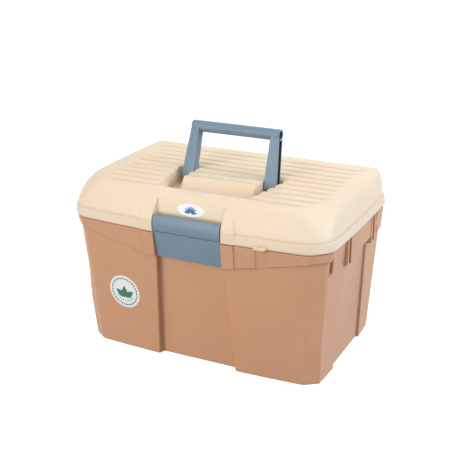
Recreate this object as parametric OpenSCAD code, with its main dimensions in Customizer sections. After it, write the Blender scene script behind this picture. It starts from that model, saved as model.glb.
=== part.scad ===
// Horse grooming box: a drafted tub, a domed lid with a folding handle, a front latch and a lift-out tray.
// Millimetres. X is right, Y is back, Z is up, and the origin is the middle of the foot.

/* [Overall] */
// Width over the lid's rim
rim_w = 400; // [385:1:430]
// Depth over the lid's rim
rim_d = 270; // [262:1:290]
// Height of the tub's wall up to the lid's rim
tub_h = 199; // [190:1:230]
// Height of the lid above the gap under its rim
lid_h = 49; // [47:1:56]

/* [Walls and gaps] */
// Thickness of the moulded walls
wall = 2.5; // [2:0.1:3]
// Thickness of the tub's floor
floor_t = 3; // [2.5:0.1:5]
// Gap between the tub's collar and the lid's rim
part_gap = 0.3; // [0.3:0.1:1]
// Clearance round the tongue that the lid sits over
seat_gap = 0.5; // [0.3:0.1:0.8]
// Clearance between a pin or trunnion and its bore
pin_gap = 0.2; // [0.15:0.05:0.4]
// Clearance between the ends of hinge knuckles
end_gap = 0.4; // [0.3:0.1:1]

/* [Tub] */
// How far the lid's rim stands out beyond the tub's wall
rim_over = 4.6; // [4.2:0.1:6]
// How far each side leans in between the rim and the foot
side_draft = 13.8; // [8:0.1:18]
// How far the front leans in between the rim and the foot
front_draft = 19.5; // [12:0.1:24]
// How far the back leans in between the rim and the foot
rear_draft = 11; // [8:0.1:20]
// Cut corner of the foot
foot_cut = 17.6; // [12:0.1:24]
// Cut corner at the top of the tub
tub_cut = 21; // [16:0.1:24]
// Bow of the front at the foot
foot_bow = 5.7; // [3:0.1:8]
// Bow of the front at the top of the tub
tub_bow = 8.6; // [5:0.1:9]
// Bow of the sides
side_bow = 2.5; // [1:0.1:3]
// Cut corner at the back of the rim and of the tub's top
rear_cut = 20; // [16:0.5:24]
// Cut corner at the back of the foot
rear_cut_foot = 14; // [10:0.5:18]
// Height of the tongue inside the lid's rim
tongue_h = 5; // [3:0.1:7]

/* [Tub panels] */
// Half width of the front recess at the foot
front_half_foot = 62; // [58:0.5:70]
// Half width of the front recess under the latch
front_half_top = 52; // [51.5:0.5:56]
// Depth of the front recess
front_depth = 10; // [8:0.5:12]
// Half width of the side recess at the foot
side_half_foot = 53.5; // [46:0.5:60]
// Half width of the side recess at its top
side_half_top = 38.5; // [34:0.5:44]
// How far behind the middle of the side the recess is centred
side_shift = 8; // [4:0.5:12]
// Depth of the side recess
side_depth = 4.5; // [4:0.1:6]
// Height of the side recess
side_top = 164; // [150:1:172]
// How far the collar stands out
collar_out = 2.6; // [1.6:0.1:3]
// Height of the collar at the corners
collar_h = 14.5; // [10:0.5:20]
// Height of the collar at the back
collar_rear_h = 39; // [30:0.5:44]
// Height of the collar beside the latch
collar_drop = 39; // [34:0.5:44]
// Half width at which the collar's edge stops falling
collar_low_x = 57; // [53:0.5:70]
// Half width at which the collar's edge starts to fall
collar_high_x = 172; // [150:1:176]
// How far forward the front collar ends on the sides
collar_end_y = 97; // [92:0.5:104]
// How far back the rear collar starts on the sides
collar_back_y = 76; // [73:0.5:90]
// How much the cheeks beside the latch stand out beyond the collar
cheek_out = 1; // [0.6:0.1:1.4]
// Width of the cheeks beside the latch
cheek_w = 19.5; // [14:0.5:24]

/* [Tub sides] */
// How far the side ribs stand out below the rim; their faces are upright
rib_out = 3; // [2.6:0.1:4]
// How far the band between the side ribs stands out below the rim
band_out = 2.7; // [2:0.1:3.5]
// Half length of the band between the side ribs
band_half = 38.5; // [34:0.5:40]
// How far behind the middle of the side the band is centred
band_shift = 12; // [6:0.5:13]
// Width of the inner side rib
rib_in_w = 4; // [3:0.5:6]
// Gap between the two side ribs
rib_space = 8; // [5:0.5:9]
// Width of the outer side rib
rib_out_w = 8; // [5:0.5:8.5]
// Height of the side ribs
rib_tall = 41; // [36:0.5:46]
// Height of the band between the side ribs
band_tall = 33; // [28:0.5:34]
// Width of the small pocket at the front of each side
pocket_w = 18; // [10:0.5:20]
// How far forward the small pocket ends
pocket_end_y = 86; // [82:0.5:90]
// Height of the small pocket
pocket_tall = 21; // [16:0.5:26]
// Depth of the small pocket
pocket_deep = 3.4; // [3:0.1:3.8]

/* [Padlock eye] */
// Place of the eye across the front
eye_x = 107.5; // [96:0.5:120]
// Radius of the eye
eye_r = 2.2; // [1.5:0.1:3]
// How far the eye's lug stands out from the rim
lug_out = 6.5; // [5.5:0.1:8]
// Width of the lug at its front
lug_w = 17; // [14:0.5:20]
// Thickness of the lug
lug_t = 4; // [3:0.1:6]
// Radius of the groove in the collar below the lug
groove_r = 11; // [9:0.5:13]
// Depth of that groove
groove_deep = 4.5; // [3:0.1:5.5]

/* [Lid] */
// Height of the rim's straight band
rim_h = 12.5; // [10:0.1:15]
// Cut corner of the rim
rim_cut = 23; // [18:0.1:26]
// Bow of the rim's front
rim_bow = 9; // [6:0.1:10]
// Width of the ledge between the rim and the sloped panels
ledge_w = 3.5; // [2:0.1:4.5]
// How far the sides of the dome lean in
dome_side = 15.5; // [12:0.1:18]
// How far the front of the dome leans in
dome_front = 26.5; // [22:0.1:28]
// How far the back of the dome leans in
dome_rear = 16.5; // [12:0.1:20]
// Cut corner at the front of the dome's top
top_cut = 33; // [26:0.5:36]
// Cut corner at the back of the dome's top
top_rear_cut = 4; // [3:0.5:10]
// Pitch of the ribs on top
rib_pitch = 19.5; // [16:0.5:22]
// Number of whole ribs on top
rib_n = 9; // [7:1:9]
// Depth of the grooves between the ribs
rib_deep = 2.8; // [1.5:0.1:3.2]
// Place of the front groove
rib_front_y = -84; // [-86:0.5:-80]
// Half length of the ribs
rib_half = 164; // [140:1:166]
// How far the ends of the grooves slope
rib_run = 10; // [6:0.5:16]

/* [Latch] */
// Half width of the latch
latch_half = 50.2; // [46:0.1:50.2]
// Thickness of the latch
latch_t = 2.4; // [2:0.1:3]
// Gap between the latch and the sides of its notch
latch_gap = 1.2; // [0.8:0.1:2]
// Radius of the latch's bulge
latch_r = 23; // [20:0.5:30]
// Height of the latch above the parting line
latch_up = 23.4; // [20:0.1:25]
// Length of the latch below the parting line
latch_down = 39; // [34:0.1:40]
// How far the bulge stays behind the front of the rim
latch_in = 1.1; // [0.5:0.1:2]
// How far the latch's foot leans in behind its crease
latch_lean = 7.8; // [6:0.1:9]
// Depth of the notch at the parting line, from the front of the rim
notch_deep = 14.6; // [13.5:0.1:16]
// Depth of the notch at the top of the lid, from the front of the rim
notch_top = 21; // [20:0.1:22]
// Radius of the latch pin
latch_pin_r = 1.5; // [1.2:0.1:2]
// Height of the latch pin above the parting line
latch_pin_up = 16.5; // [15:0.1:17.5]
// Distance of the latch pin behind the front of the rim
latch_pin_in = 9; // [8.5:0.1:9.5]
// Length of the snap lip at the latch's foot
lip_l = 1.9; // [1:0.1:2]
// Width of the frames beside the notch
frame_w = 19.5; // [14:0.5:24]

/* [Handle] */
// Half width between the inner faces of the arms
arm_in = 56; // [52:0.5:60]
// Width of each arm at its pivot
arm_w_low = 19.5; // [16:0.5:22]
// Width of each arm at the grip
arm_w_top = 13; // [11:0.5:14]
// Depth of each arm at its inner face
arm_d = 16; // [14:0.5:16.4]
// How far the arm's front and back lean in towards its open side
arm_set = 2.5; // [1:0.1:3]
// Thickness of the handle's walls
arm_t = 2.4; // [2:0.1:3]
// Distance from the pivot to the middle of the grip
handle_l = 72.8; // [66:0.1:73.5]
// Radius of the grip
grip_r = 8.2; // [7:0.1:8.5]
// Lean of the raised handle behind upright, in degrees
handle_lean = 18.9; // [10:0.1:19]
// Place of the pivot, front to back
pivot_y = -1; // [-2:0.1:0]
// Depth of the pivot below the top of the lid
pivot_down = 10; // [9.5:0.1:10.5]
// Radius of the trunnions on the arms
trunnion_r = 3; // [2:0.1:3.5]

/* [Handle recess] */
// Depth of the handle recess
recess_deep = 22.5; // [21.5:0.1:25]
// Clearance between the handle and the recess
recess_gap = 0.5; // [0.3:0.1:1]
// Width of each slot at its back end
slot_w = 29.5; // [28:0.5:32]
// Width of each slot at the front of the recess
slot_w_front = 14.5; // [14.5:0.5:18]
// Distance from the pivot to the back end of the slots
slot_back = 13; // [12.5:0.1:15]
// Room in front of the folded grip
grip_room = 3.2; // [2:0.1:5]
// Distance of the middle block's front edge in front of the pivot
block_front = 35; // [30:0.5:38]
// How far the middle block's front face slopes
block_slope = 14; // [8:0.5:16]

/* [Hinge] */
// Distance of each hinge from the middle
hinge_x = 110; // [90:1:140]
// Radius of the hinge knuckles
knuckle_r = 4; // [3.5:0.1:4.5]
// Length of each outer knuckle
knuckle_out = 15; // [10:0.5:20]
// Length of the lid's knuckle between them
knuckle_mid = 20; // [14:0.5:30]
// Radius of the hinge pins
hinge_pin_r = 2; // [1.5:0.1:2.2]
// Gap between the rim and the outer knuckles
knuckle_gap = 0.5; // [0.4:0.1:1]
// Height of the brackets under the outer knuckles
bracket_h = 24; // [18:0.5:30]

/* [Tray] */
// Depth of the lift-out tray
tray_h = 50; // [35:1:60]
// Thickness of the tray's walls
tray_t = 2; // [1.6:0.1:2.6]
// Width of the tray's flange
flange_w = 5; // [4:0.1:6]
// Clearance between the tray's flange and the tub
tray_gap = 1.6; // [1:0.1:2.2]
// How far the tray's walls lean in
tray_draft = 3; // [2:0.1:5]
// Place of the dividers on each side of the middle
divider_x = 60; // [40:1:100]

/* [Labels] */
// Thickness of the labels
label_t = 0.3; // [0.2:0.05:0.5]
// Gap between a label and its panel
label_gap = 0.05; // [0.05:0.05:0.2]
// Radius of the round label
round_r = 25.5; // [20:0.5:28]
// Height of the round label's middle
round_z = 91; // [80:1:110]
// Half width of the oval label
oval_half_w = 20.5; // [16:0.5:24]
// Half height of the oval label
oval_half_h = 8.5; // [6:0.5:10]
// Height of the oval label's middle above the parting line
oval_up = 32; // [29:0.5:33]

/* [Hidden] */
$fn = 48;
tan_plastic = [0.765, 0.573, 0.451];
cream_plastic = [0.957, 0.886, 0.776];
blue_plastic = [0.463, 0.541, 0.596];
steel = [0.72, 0.73, 0.75];
label_white = [0.93, 0.94, 0.93];
// Steps along the bowed front and along each bowed side
front_n = 8;
side_n = 4;
// Steps of the dome's height, and how straight its side and front slopes are
dome_n = 6;
side_straight = 0.4;
front_straight = 0.5;
// Reach of the cutting shapes past the solids that they cut
over = 1;
far = 400;
// Levels of the lid
lid_z = tub_h + part_gap;
lid_top = lid_z + lid_h;
ledge_z = lid_z + rim_h + 2;
seat_z = tub_h + tongue_h + part_gap;
rim_front = -rim_d / 2;
// The latch's bulge is an arc round latch_c that ends in a crease, with a flat plate below it
crease_z = lid_z + 0.7;
latch_top = lid_z + latch_up;
latch_c = [rim_front + latch_in + latch_r, lid_z + latch_up * 0.4];
crease_a = asin((crease_z - latch_c[1]) / latch_r);
top_a = asin((latch_top - latch_c[1]) / latch_r);
function bulge(r, a) = [latch_c[0] - r * cos(a), latch_c[1] + r * sin(a)];
foot_y = bulge(latch_r, crease_a)[0] + latch_lean;
lip_y = foot_y + latch_t + lip_l;
// A cut corner shrinks by this share of the distance when its outline is moved in
cut_share = 2 - sqrt(2);

// A chamfered outline: a bowed front at y = -hf, bowed sides at x = hw and a straight back at y = hr.
function outline(hw, hf, hr, cut, cut_r, bow, bow_s) =
    let (xe = hw - bow_s, a = xe - cut, y0 = -hf + bow + cut, y1 = hr - cut_r)
    let (ym = (y0 + y1) / 2, yh = (y1 - y0) / 2)
    let (side = [for (i = [0 : side_n]) let (s = 2 * i / side_n - 1) [hw - bow_s * s * s, ym + yh * s]])
    concat(
        [for (i = [0 : front_n]) let (t = 2 * i / front_n - 1) [a * t, -hf + bow * t * t]],
        side,
        [[xe - cut_r, hr], [-(xe - cut_r), hr]],
        [for (i = [side_n : -1 : 0]) [-side[i][0], side[i][1]]]);

function level(points, z) = [for (p = points) [p[0], p[1], z]];

// Size of the tub at a height
function tub_hw(z) = rim_w / 2 - rim_over - side_draft * (1 - z / tub_h);
function tub_hf(z) = rim_d / 2 - rim_over - front_draft * (1 - z / tub_h);
function tub_hr(z) = rim_d / 2 - rim_over - rear_draft * (1 - z / tub_h);
function tub_mix(low, high, z) = low + (high - low) * z / tub_h;

// The tub's outline at a height, moved in by g
function tub_ring(z, g = 0) = level(
    outline(tub_hw(z) - g, tub_hf(z) - g, tub_hr(z) - g, tub_mix(foot_cut, tub_cut, z) - cut_share * g,
        tub_mix(rear_cut_foot, rear_cut, z) - cut_share * g, tub_mix(foot_bow, tub_bow, z), side_bow), z);

// The outline of the lid's rim
function rim_ring(z) = level(outline(rim_w / 2, rim_d / 2, rim_d / 2, rim_cut, rear_cut, rim_bow, side_bow), z);

// How much of its inset the dome has reached at the share t of its height, partly straight and partly rounded
function dome_round(t) = 1 - sqrt(1 - t * t);
function dome_inset(t, straight) = straight * t + (1 - straight) * dome_round(t);

// The dome's outline at the share t of the height from z0 to z1, moved in by g
function dome_ring(t, z0, z1, g = 0) = level(
    outline(rim_w / 2 - ledge_w - g - dome_side * dome_inset(t, side_straight),
        rim_d / 2 - ledge_w - g - dome_front * dome_inset(t, front_straight),
        rim_d / 2 - ledge_w - g - dome_rear * dome_inset(t, front_straight),
        rim_cut + (top_cut - rim_cut) * dome_round(t) - cut_share * g,
        rear_cut + (top_rear_cut - rear_cut) * t - cut_share * g, rim_bow, side_bow), z0 + (z1 - z0) * t);

function dome_rings(z0, z1, g = 0) = [for (i = [0 : dome_n]) dome_ring(sin(90 * i / dome_n), z0, z1, g)];

// A solid through outlines of equal length, from the lowest to the highest
module loft(rings) {
    n = len(rings[0]);
    last = (len(rings) - 1) * n;
    points = [for (r = rings) each r];
    walls = [for (k = [0 : len(rings) - 2], i = [0 : n - 1])
        let (a = k * n + i, b = k * n + (i + 1) % n, c = b + n, d = a + n)
        each [[a, d, c], [a, c, b]]];
    faces = concat([[for (i = [0 : n - 1]) i]], walls, [[for (i = [n - 1 : -1 : 0]) last + i]]);
    polyhedron(points, faces);
}

// A profile drawn as [y, z], extruded across X from x0 to x1
module across(x0, x1, profile) {
    translate([x0, 0, 0])
        rotate([90, 0, 90])
            linear_extrude(x1 - x0)
                polygon(profile);
}

// A profile drawn as [x, z], extruded along Y from y0 to y1
module along(y0, y1, profile) {
    translate([0, y1, 0])
        rotate([90, 0, 0])
            linear_extrude(y1 - y0)
                polygon(profile);
}

module box(low, high) {
    translate(low)
        cube(high - low);
}

module both_sides() {
    children();
    mirror([1, 0, 0])
        children();
}

// A cylinder along X
module rod(x0, x1, y, z, r) {
    translate([x0, y, z])
        rotate([0, 90, 0])
            cylinder(h = x1 - x0, r = r);
}

// Tub

function front_floor(z) = -tub_hf(z) + front_depth;
latch_low = tub_h - latch_down;
function recess_half(z) = front_half_foot + (front_half_top - front_half_foot) * min(1, z / latch_low);

// The recess behind and below the latch, grown by g
module front_recess(g) {
    function slab(z) = let (half = recess_half(z) + g, y = front_floor(z) + g)
        [[-half, -far, z], [half, -far, z], [half, y, z], [-half, y, z]];
    loft([slab(-over), slab(latch_low), slab(tub_h + tongue_h + 2 * over)]);
}

// The recess in the right side, grown by g
module side_recess(g) {
    function slab(z, half) =
        let (x = tub_hw(z) - side_depth - g, y0 = side_shift - half - g, y1 = side_shift + half + g)
        [[x, y0, z], [far, y0, z], [far, y1, z], [x, y1, z]];
    loft([slab(-over, side_half_foot), slab(side_top + g, side_half_top)]);
}

front_angle = atan2(front_draft, tub_h);

// The upright groove below the padlock eye, grown by g
module eye_groove(g) {
    translate([eye_x, front_y(eye_x, tub_h) - collar_out + groove_deep - groove_r, tub_h])
        rotate([front_angle, 0, 0])
            translate([0, 0, -collar_drop - g])
                cylinder(h = collar_drop + g + (g > 0 ? -over : over), r = groove_r + g);
}

// The hollow inside the tub
module tub_inside() {
    top = tub_h + tongue_h + over;
    difference() {
        loft([tub_ring(floor_t, wall), tub_ring(top, wall)]);
        front_recess(wall);
        both_sides()
            side_recess(wall);
        eye_groove(wall);
    }
}

// The part of the tub's upper wall that the collar covers, seen from the front
collar_edge = [[-far, tub_h - collar_h], [-collar_high_x, tub_h - collar_h],
    [-collar_low_x, tub_h - collar_drop], [collar_low_x, tub_h - collar_drop],
    [collar_high_x, tub_h - collar_h], [far, tub_h - collar_h], [far, tub_h], [-far, tub_h]];

module tub_skin(out) {
    loft([tub_ring(tub_h / 2, -out), tub_ring(tub_h, -out)]);
}

// An upright skin round the sides, as far out as the top of the tub's skin
module upright_skin(out) {
    top = tub_ring(tub_h, -out);
    loft([level(top, tub_h / 2), level(top, tub_h)]);
}

module collar() {
    intersection() {
        tub_skin(collar_out);
        union() {
            along(-far, -collar_end_y, collar_edge);
            box([-far, collar_back_y, tub_h - collar_rear_h], [far, far, tub_h + over]);
        }
    }
    intersection() {
        tub_skin(collar_out + cheek_out);
        along(-far, 0, collar_edge);
        both_sides()
            box([notch_half, -far, 0], [notch_half + cheek_w, 0, far]);
    }
}

rib_low = band_half + rib_in_w;
rib_high = rib_low + rib_space;

module side_ribs() {
    intersection() {
        upright_skin(rib_out);
        for (s = [-1, 1])
            for (span = [[band_half, rib_low], [rib_high, rib_high + rib_out_w]])
                translate([0, band_shift + s * (span[0] + span[1]) / 2, tub_h - rib_tall / 2 - over / 2])
                    cube([2 * far, span[1] - span[0], rib_tall], center = true);
    }
    intersection() {
        upright_skin(band_out);
        box([-far, band_shift - band_half - over, tub_h - band_tall],
            [far, band_shift + band_half + over, tub_h - over / 2]);
    }
}

hinge_y = rim_d / 2 + knuckle_gap + knuckle_r;
hinge_z = lid_z;
knuckle_start = knuckle_mid / 2 + end_gap;
knuckle_end = knuckle_start + knuckle_out;

module tub_knuckles() {
    arm = [[tub_hr(tub_h - bracket_h) - wall, tub_h - bracket_h],
        [hinge_y + knuckle_r * 0.8, hinge_z - knuckle_r * 0.6],
        [hinge_y, tub_h - over], [tub_hr(tub_h) - wall, tub_h - over]];
    for (s = [-1, 1], t = [-1, 1])
        translate([s * hinge_x + t * (knuckle_start + knuckle_end) / 2, 0, 0]) {
            across(-knuckle_out / 2, knuckle_out / 2, arm);
            rod(-knuckle_out / 2, knuckle_out / 2, hinge_y, hinge_z, knuckle_r);
        }
}

module hinge_bores() {
    for (s = [-1, 1])
        translate([s * hinge_x, 0, 0])
            rod(-knuckle_end - over, knuckle_end + over, hinge_y, hinge_z, hinge_pin_r + pin_gap);
}

notch_half = latch_half + latch_gap;
catch_z = latch_low + 16;
catch_tall = 4;
// The catch stays just behind the path of the latch's lip when the lid is raised
catch_y = lip_y - 0.5;

module latch_catch() {
    half = latch_half * 0.8;
    box([-half, catch_y, catch_z], [half, front_floor(catch_z) + wall / 2, catch_z + catch_tall]);
}

// The small pocket at the front of the right side, just below the collar
module side_pocket() {
    top = tub_h - collar_h;
    box([tub_hw(top) - pocket_deep, -pocket_end_y - pocket_w, top - pocket_tall], [far, -pocket_end_y, top]);
}

module tub() {
    color(tan_plastic)
    difference() {
        union() {
            difference() {
                union() {
                    loft([tub_ring(0), tub_ring(tub_h + tongue_h)]);
                    collar();
                }
                front_recess(0);
                both_sides()
                    side_recess(0);
                eye_groove(0);
            }
            side_ribs();
            tub_knuckles();
            latch_catch();
        }
        tub_inside();
        // The tongue stops where the lid's notch comes down behind the latch.
        box([-notch_half - wall - seat_gap, -far, tub_h], [notch_half + wall + seat_gap, -rim_d / 4, far]);
        both_sides()
            side_pocket();
        hinge_bores();
    }
}

// Lid

module lid_outer() {
    loft(concat([rim_ring(lid_z), rim_ring(lid_z + rim_h)], dome_rings(ledge_z, lid_top)));
}

module lid_inner() {
    under = lid_top - rib_deep - wall;
    g = wall * 1.1;
    loft([tub_seat(lid_z - over), tub_seat(seat_z)]);
    loft(concat([dome_ring(0, seat_z - over, under, g)], dome_rings(ledge_z, under, g)));
}

// The room inside the rim for the tub's tongue
function tub_seat(z) = level(
    outline(tub_hw(seat_z) + seat_gap, tub_hf(seat_z) + seat_gap, tub_hr(seat_z) + seat_gap,
        tub_mix(foot_cut, tub_cut, seat_z), tub_mix(rear_cut_foot, rear_cut, seat_z),
        tub_mix(foot_bow, tub_bow, seat_z), side_bow), z);

function notch_y(z) = rim_front + notch_deep + (notch_top - notch_deep) * (z - lid_z) / lid_h;

// The notch that the latch sits in, grown by g
module latch_notch(g) {
    function slab(z) = [[-notch_half - g, -far, z], [notch_half + g, -far, z],
        [notch_half + g, notch_y(z) + g, z], [-notch_half - g, notch_y(z) + g, z]];
    loft([slab(lid_z - (g > 0 ? 0 : over)), slab(lid_top + over)]);
}

// The frames that stand beside the notch, flush with the rim at their foot and with the dome at their top
frame_end = 0.86;
frame_n = 5;

module notch_frames() {
    function face(t) = [rim_front + ledge_w * t / frame_end + dome_front * dome_inset(t, front_straight),
        ledge_z + (lid_top - ledge_z) * t];
    outer = [for (i = [0 : frame_n]) face(frame_end * i / frame_n)];
    profile = concat([[rim_front, lid_z]], outer, [outer[frame_n] + [wall, 0],
        [rim_front + ledge_w + wall, ledge_z], [rim_front + ledge_w, lid_z]]);
    both_sides()
        across(notch_half, notch_half + frame_w, profile);
}

pivot_z = lid_top - pivot_down;
block_half = arm_in - recess_gap;
recess_z = lid_top - recess_deep;
recess_back = pivot_y + slot_back;
recess_front = pivot_y - handle_l - grip_r - grip_room;
block_low_y = pivot_y - block_front - block_slope;
block_high_y = pivot_y - block_front;

// The U-shaped recess that the handle folds into, grown by g
module handle_recess(g) {
    plan = [[-block_half - slot_w - g, recess_back + g], [-block_half - slot_w_front - g, recess_front - g],
        [block_half + slot_w_front + g, recess_front - g], [block_half + slot_w + g, recess_back + g],
        [block_half - g, recess_back + g], [block_half - g, block_low_y + g],
        [-block_half + g, block_low_y + g], [-block_half + g, recess_back + g]];
    translate([0, 0, recess_z - g])
        linear_extrude(recess_deep + g + over)
            polygon(plan);
    across(-block_half, block_half, [[block_low_y - over, recess_z - g], [block_low_y + g, recess_z - g],
        [block_high_y + g, lid_top + over], [block_low_y - over, lid_top + over]]);
}

// The grooves on top: rounded ribs that meet in narrow valleys and fade out at their ends
module rib_grooves() {
    steps = 6;
    first = rib_front_y - rib_pitch / 2;
    count = (rib_n + 1) * steps;
    curve = [for (i = [0 : count]) let (u = i / steps - 0.5, f = u - floor(u), d = 2 * f - 1)
        [first + i * rib_pitch / steps, lid_top - rib_deep * d * d + (i == 0 || i == count ? over / 100 : 0)]];
    low = lid_top - rib_deep - over / 10;
    low_half = rib_half - rib_run;
    top_half = rib_half + rib_run / rib_deep;
    intersection() {
        across(-rib_half - over, rib_half + over,
            concat(curve, [[first + (rib_n + 1) * rib_pitch, lid_top + over], [first, lid_top + over]]));
        along(-far, far, [[-low_half, low], [low_half, low],
            [top_half, lid_top + over], [-top_half, lid_top + over]]);
    }
}

module padlock_lug() {
    base = rim_bow_y(eye_x);
    translate([0, 0, lid_z])
        linear_extrude(lug_t)
            polygon([[eye_x - lug_w / 2 - 3, base + wall], [eye_x - lug_w / 2, base - lug_out],
                [eye_x + lug_w / 2, base - lug_out], [eye_x + lug_w / 2 + 3, base + wall]]);
}

// The rim's front at a place across it
function rim_bow_y(x) = rim_front + rim_bow * pow(x / (rim_w / 2 - side_bow - rim_cut), 2);
eye_y = rim_bow_y(eye_x) - lug_out / 2;

latch_pin_y = rim_front + latch_pin_in;
latch_pin_z = lid_z + latch_pin_up;
latch_pin_half = notch_half + wall * 0.8;

module lid_knuckles() {
    back = rim_d / 2 - wall;
    arm = [[back, hinge_z], [hinge_y, hinge_z], [hinge_y + knuckle_r * 0.6, hinge_z + knuckle_r * 0.8],
        [back, hinge_z + rim_h * 0.8]];
    for (s = [-1, 1])
        translate([s * hinge_x, 0, 0]) {
            across(-knuckle_mid / 2, knuckle_mid / 2, arm);
            rod(-knuckle_mid / 2, knuckle_mid / 2, hinge_y, hinge_z, knuckle_r);
        }
}

module lid() {
    color(cream_plastic)
    difference() {
        union() {
            difference() {
                lid_outer();
                lid_inner();
            }
            intersection() {
                lid_outer();
                union() {
                    handle_recess(wall);
                    latch_notch(wall);
                }
            }
            notch_frames();
            padlock_lug();
            lid_knuckles();
        }
        handle_recess(0);
        latch_notch(0);
        rib_grooves();
        translate([eye_x, eye_y, lid_z - over])
            cylinder(h = lug_t + 2 * over, r = eye_r);
        rod(-latch_pin_half, latch_pin_half, latch_pin_y, latch_pin_z, latch_pin_r + pin_gap / 2);
        both_sides()
            rod(block_half - 2 * wall, block_half + over, pivot_y, pivot_z, trunnion_r + pin_gap);
        hinge_bores();
    }
}

// Handle

// A round boss along X that narrows from r0 to r1
module boss(x0, x1, r0, r1) {
    translate([x0, 0, 0])
        rotate([0, 90, 0])
            cylinder(h = x1 - x0, r1 = r0, r2 = r1);
}

// One arm, upright, with its pivot at the origin: a channel that narrows towards its open outer side
module arm() {
    deep = arm_d / 2;
    function reach(z) = arm_w_low + (arm_w_top - arm_w_low) * z / handle_l;
    function slab(z, g) =
        let (x0 = arm_in + g, x1 = arm_in + reach(z) + g, y0 = deep - g, y1 = deep - arm_set - g)
        [[x0, -y0, z], [x1, -y1, z], [x1, y1, z], [x0, y0, z]];
    difference() {
        union() {
            loft([slab(0, 0), slab(handle_l, 0)]);
            boss(arm_in, arm_in + arm_w_low, deep, deep - arm_set);
        }
        loft([slab(0, arm_t), slab(handle_l - grip_r, arm_t)]);
        boss(arm_in + arm_t, arm_in + arm_t + arm_w_low, deep - arm_t, deep - arm_set - arm_t);
    }
    rod(block_half - wall - over / 2, arm_in + arm_t, 0, 0, trunnion_r);
}

module handle() {
    grip_half = arm_in + arm_w_top;
    color(blue_plastic)
    translate([0, pivot_y, pivot_z])
        rotate([-handle_lean, 0, 0])
            difference() {
                union() {
                    both_sides()
                        arm();
                    rod(-grip_half, grip_half, 0, handle_l, grip_r);
                }
                rod(-grip_half - over, grip_half + over, 0, handle_l, grip_r - arm_t);
            }
}

// Latch

module latch() {
    steps = 8;
    function arc(r) = [for (i = [0 : steps]) bulge(r, top_a + (crease_a - top_a) * i / steps)];
    inner = arc(latch_r - latch_t);
    shell = concat(arc(latch_r), [[foot_y, latch_low], [foot_y + latch_t, latch_low]],
        [for (i = [steps : -1 : 0]) inner[i]]);
    lip = [[foot_y + latch_t / 2, latch_low], [lip_y, latch_low + 0.6], [lip_y, latch_low + 3.4],
        [foot_y + latch_t / 2, latch_low + 5]];
    color(blue_plastic)
    difference() {
        union() {
            across(-latch_half, latch_half, shell);
            across(-latch_half * 0.9, latch_half * 0.9, lip);
            for (x = [-latch_half, -latch_t / 2, latch_half - latch_t])
                rod(x, x + latch_t, latch_pin_y, latch_pin_z, latch_pin_r + latch_t);
        }
        rod(-latch_half - over, latch_half + over, latch_pin_y, latch_pin_z, latch_pin_r + pin_gap);
    }
}

module latch_pin() {
    half = latch_pin_half - pin_gap;
    color(steel)
        rod(-half, half, latch_pin_y, latch_pin_z, latch_pin_r);
}

module hinge_pins() {
    color(steel)
        for (s = [-1, 1])
            rod(s * hinge_x - knuckle_end, s * hinge_x + knuckle_end, hinge_y, hinge_z, hinge_pin_r);
}

// Tray

tray_rest = side_top + wall + 0.1;
tray_top = tray_rest + tray_t;
tray_low = tray_top - tray_h;
// The tray clears the wall behind the front recess
tray_half_d = tub_hf(tray_rest) - front_depth - wall - tray_gap;

// The tray's outline, moved in by g
function tray_ring(z, g) = level(
    outline(tub_hw(tray_rest) - wall - tray_gap - g, tray_half_d - g, tray_half_d - g, tub_cut - cut_share * g,
        tub_cut - cut_share * g, 1, side_bow), z);

module insert_tray() {
    lean = flange_w + tray_draft;
    color(cream_plastic)
    difference() {
        union() {
            loft([tray_ring(tray_rest, 0), tray_ring(tray_top, 0)]);
            loft([tray_ring(tray_low, lean), tray_ring(tray_top - tray_t / 2, flange_w)]);
        }
        difference() {
            loft([tray_ring(tray_low + tray_t, lean + tray_t), tray_ring(tray_top + over, flange_w + tray_t)]);
            for (x = [-divider_x, divider_x])
                box([x - tray_t / 2, -far, 0], [x + tray_t / 2, far, tray_top - tray_t]);
        }
    }
}

// Labels

// Half width of the tub's bowed front at a height, and the front itself at a place across it
function front_half(z) = tub_hw(z) - side_bow - tub_mix(foot_cut, tub_cut, z);
function front_y(x, z) = -tub_hf(z) + tub_mix(foot_bow, tub_bow, z) * pow(x / front_half(z), 2);

// The round label is a film on the tub's skin, in the middle of the panel beside the recess
round_x = -(front_half(round_z) + recess_half(round_z)) / 2;

module round_label() {
    function skin(out) = [tub_ring(0, -out), tub_ring(tub_h + tongue_h, -out)];
    color(label_white)
    intersection() {
        difference() {
            loft(skin(label_gap + label_t));
            loft(skin(label_gap));
        }
        translate([round_x, 0, round_z])
            rotate([90, 0, 0])
                cylinder(h = far, r = round_r);
    }
}

module oval_label() {
    z = lid_z + oval_up;
    lean = atan2(notch_top - notch_deep, lid_h);
    n = 40;
    color(label_white)
        translate([0, notch_y(z), z])
            rotate([90 - lean, 0, 0])
                translate([0, 0, label_gap])
                    linear_extrude(label_t)
                        polygon([for (i = [0 : n - 1]) let (a = 360 * i / n)
                            [oval_half_w * cos(a), oval_half_h * sin(a)]]);
}

tub();
lid();
handle();
latch();
latch_pin();
hinge_pins();
insert_tray();
round_label();
oval_label();
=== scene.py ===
import math

import bmesh
import bpy
import numpy as np
from mathutils import Matrix, Vector


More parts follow.
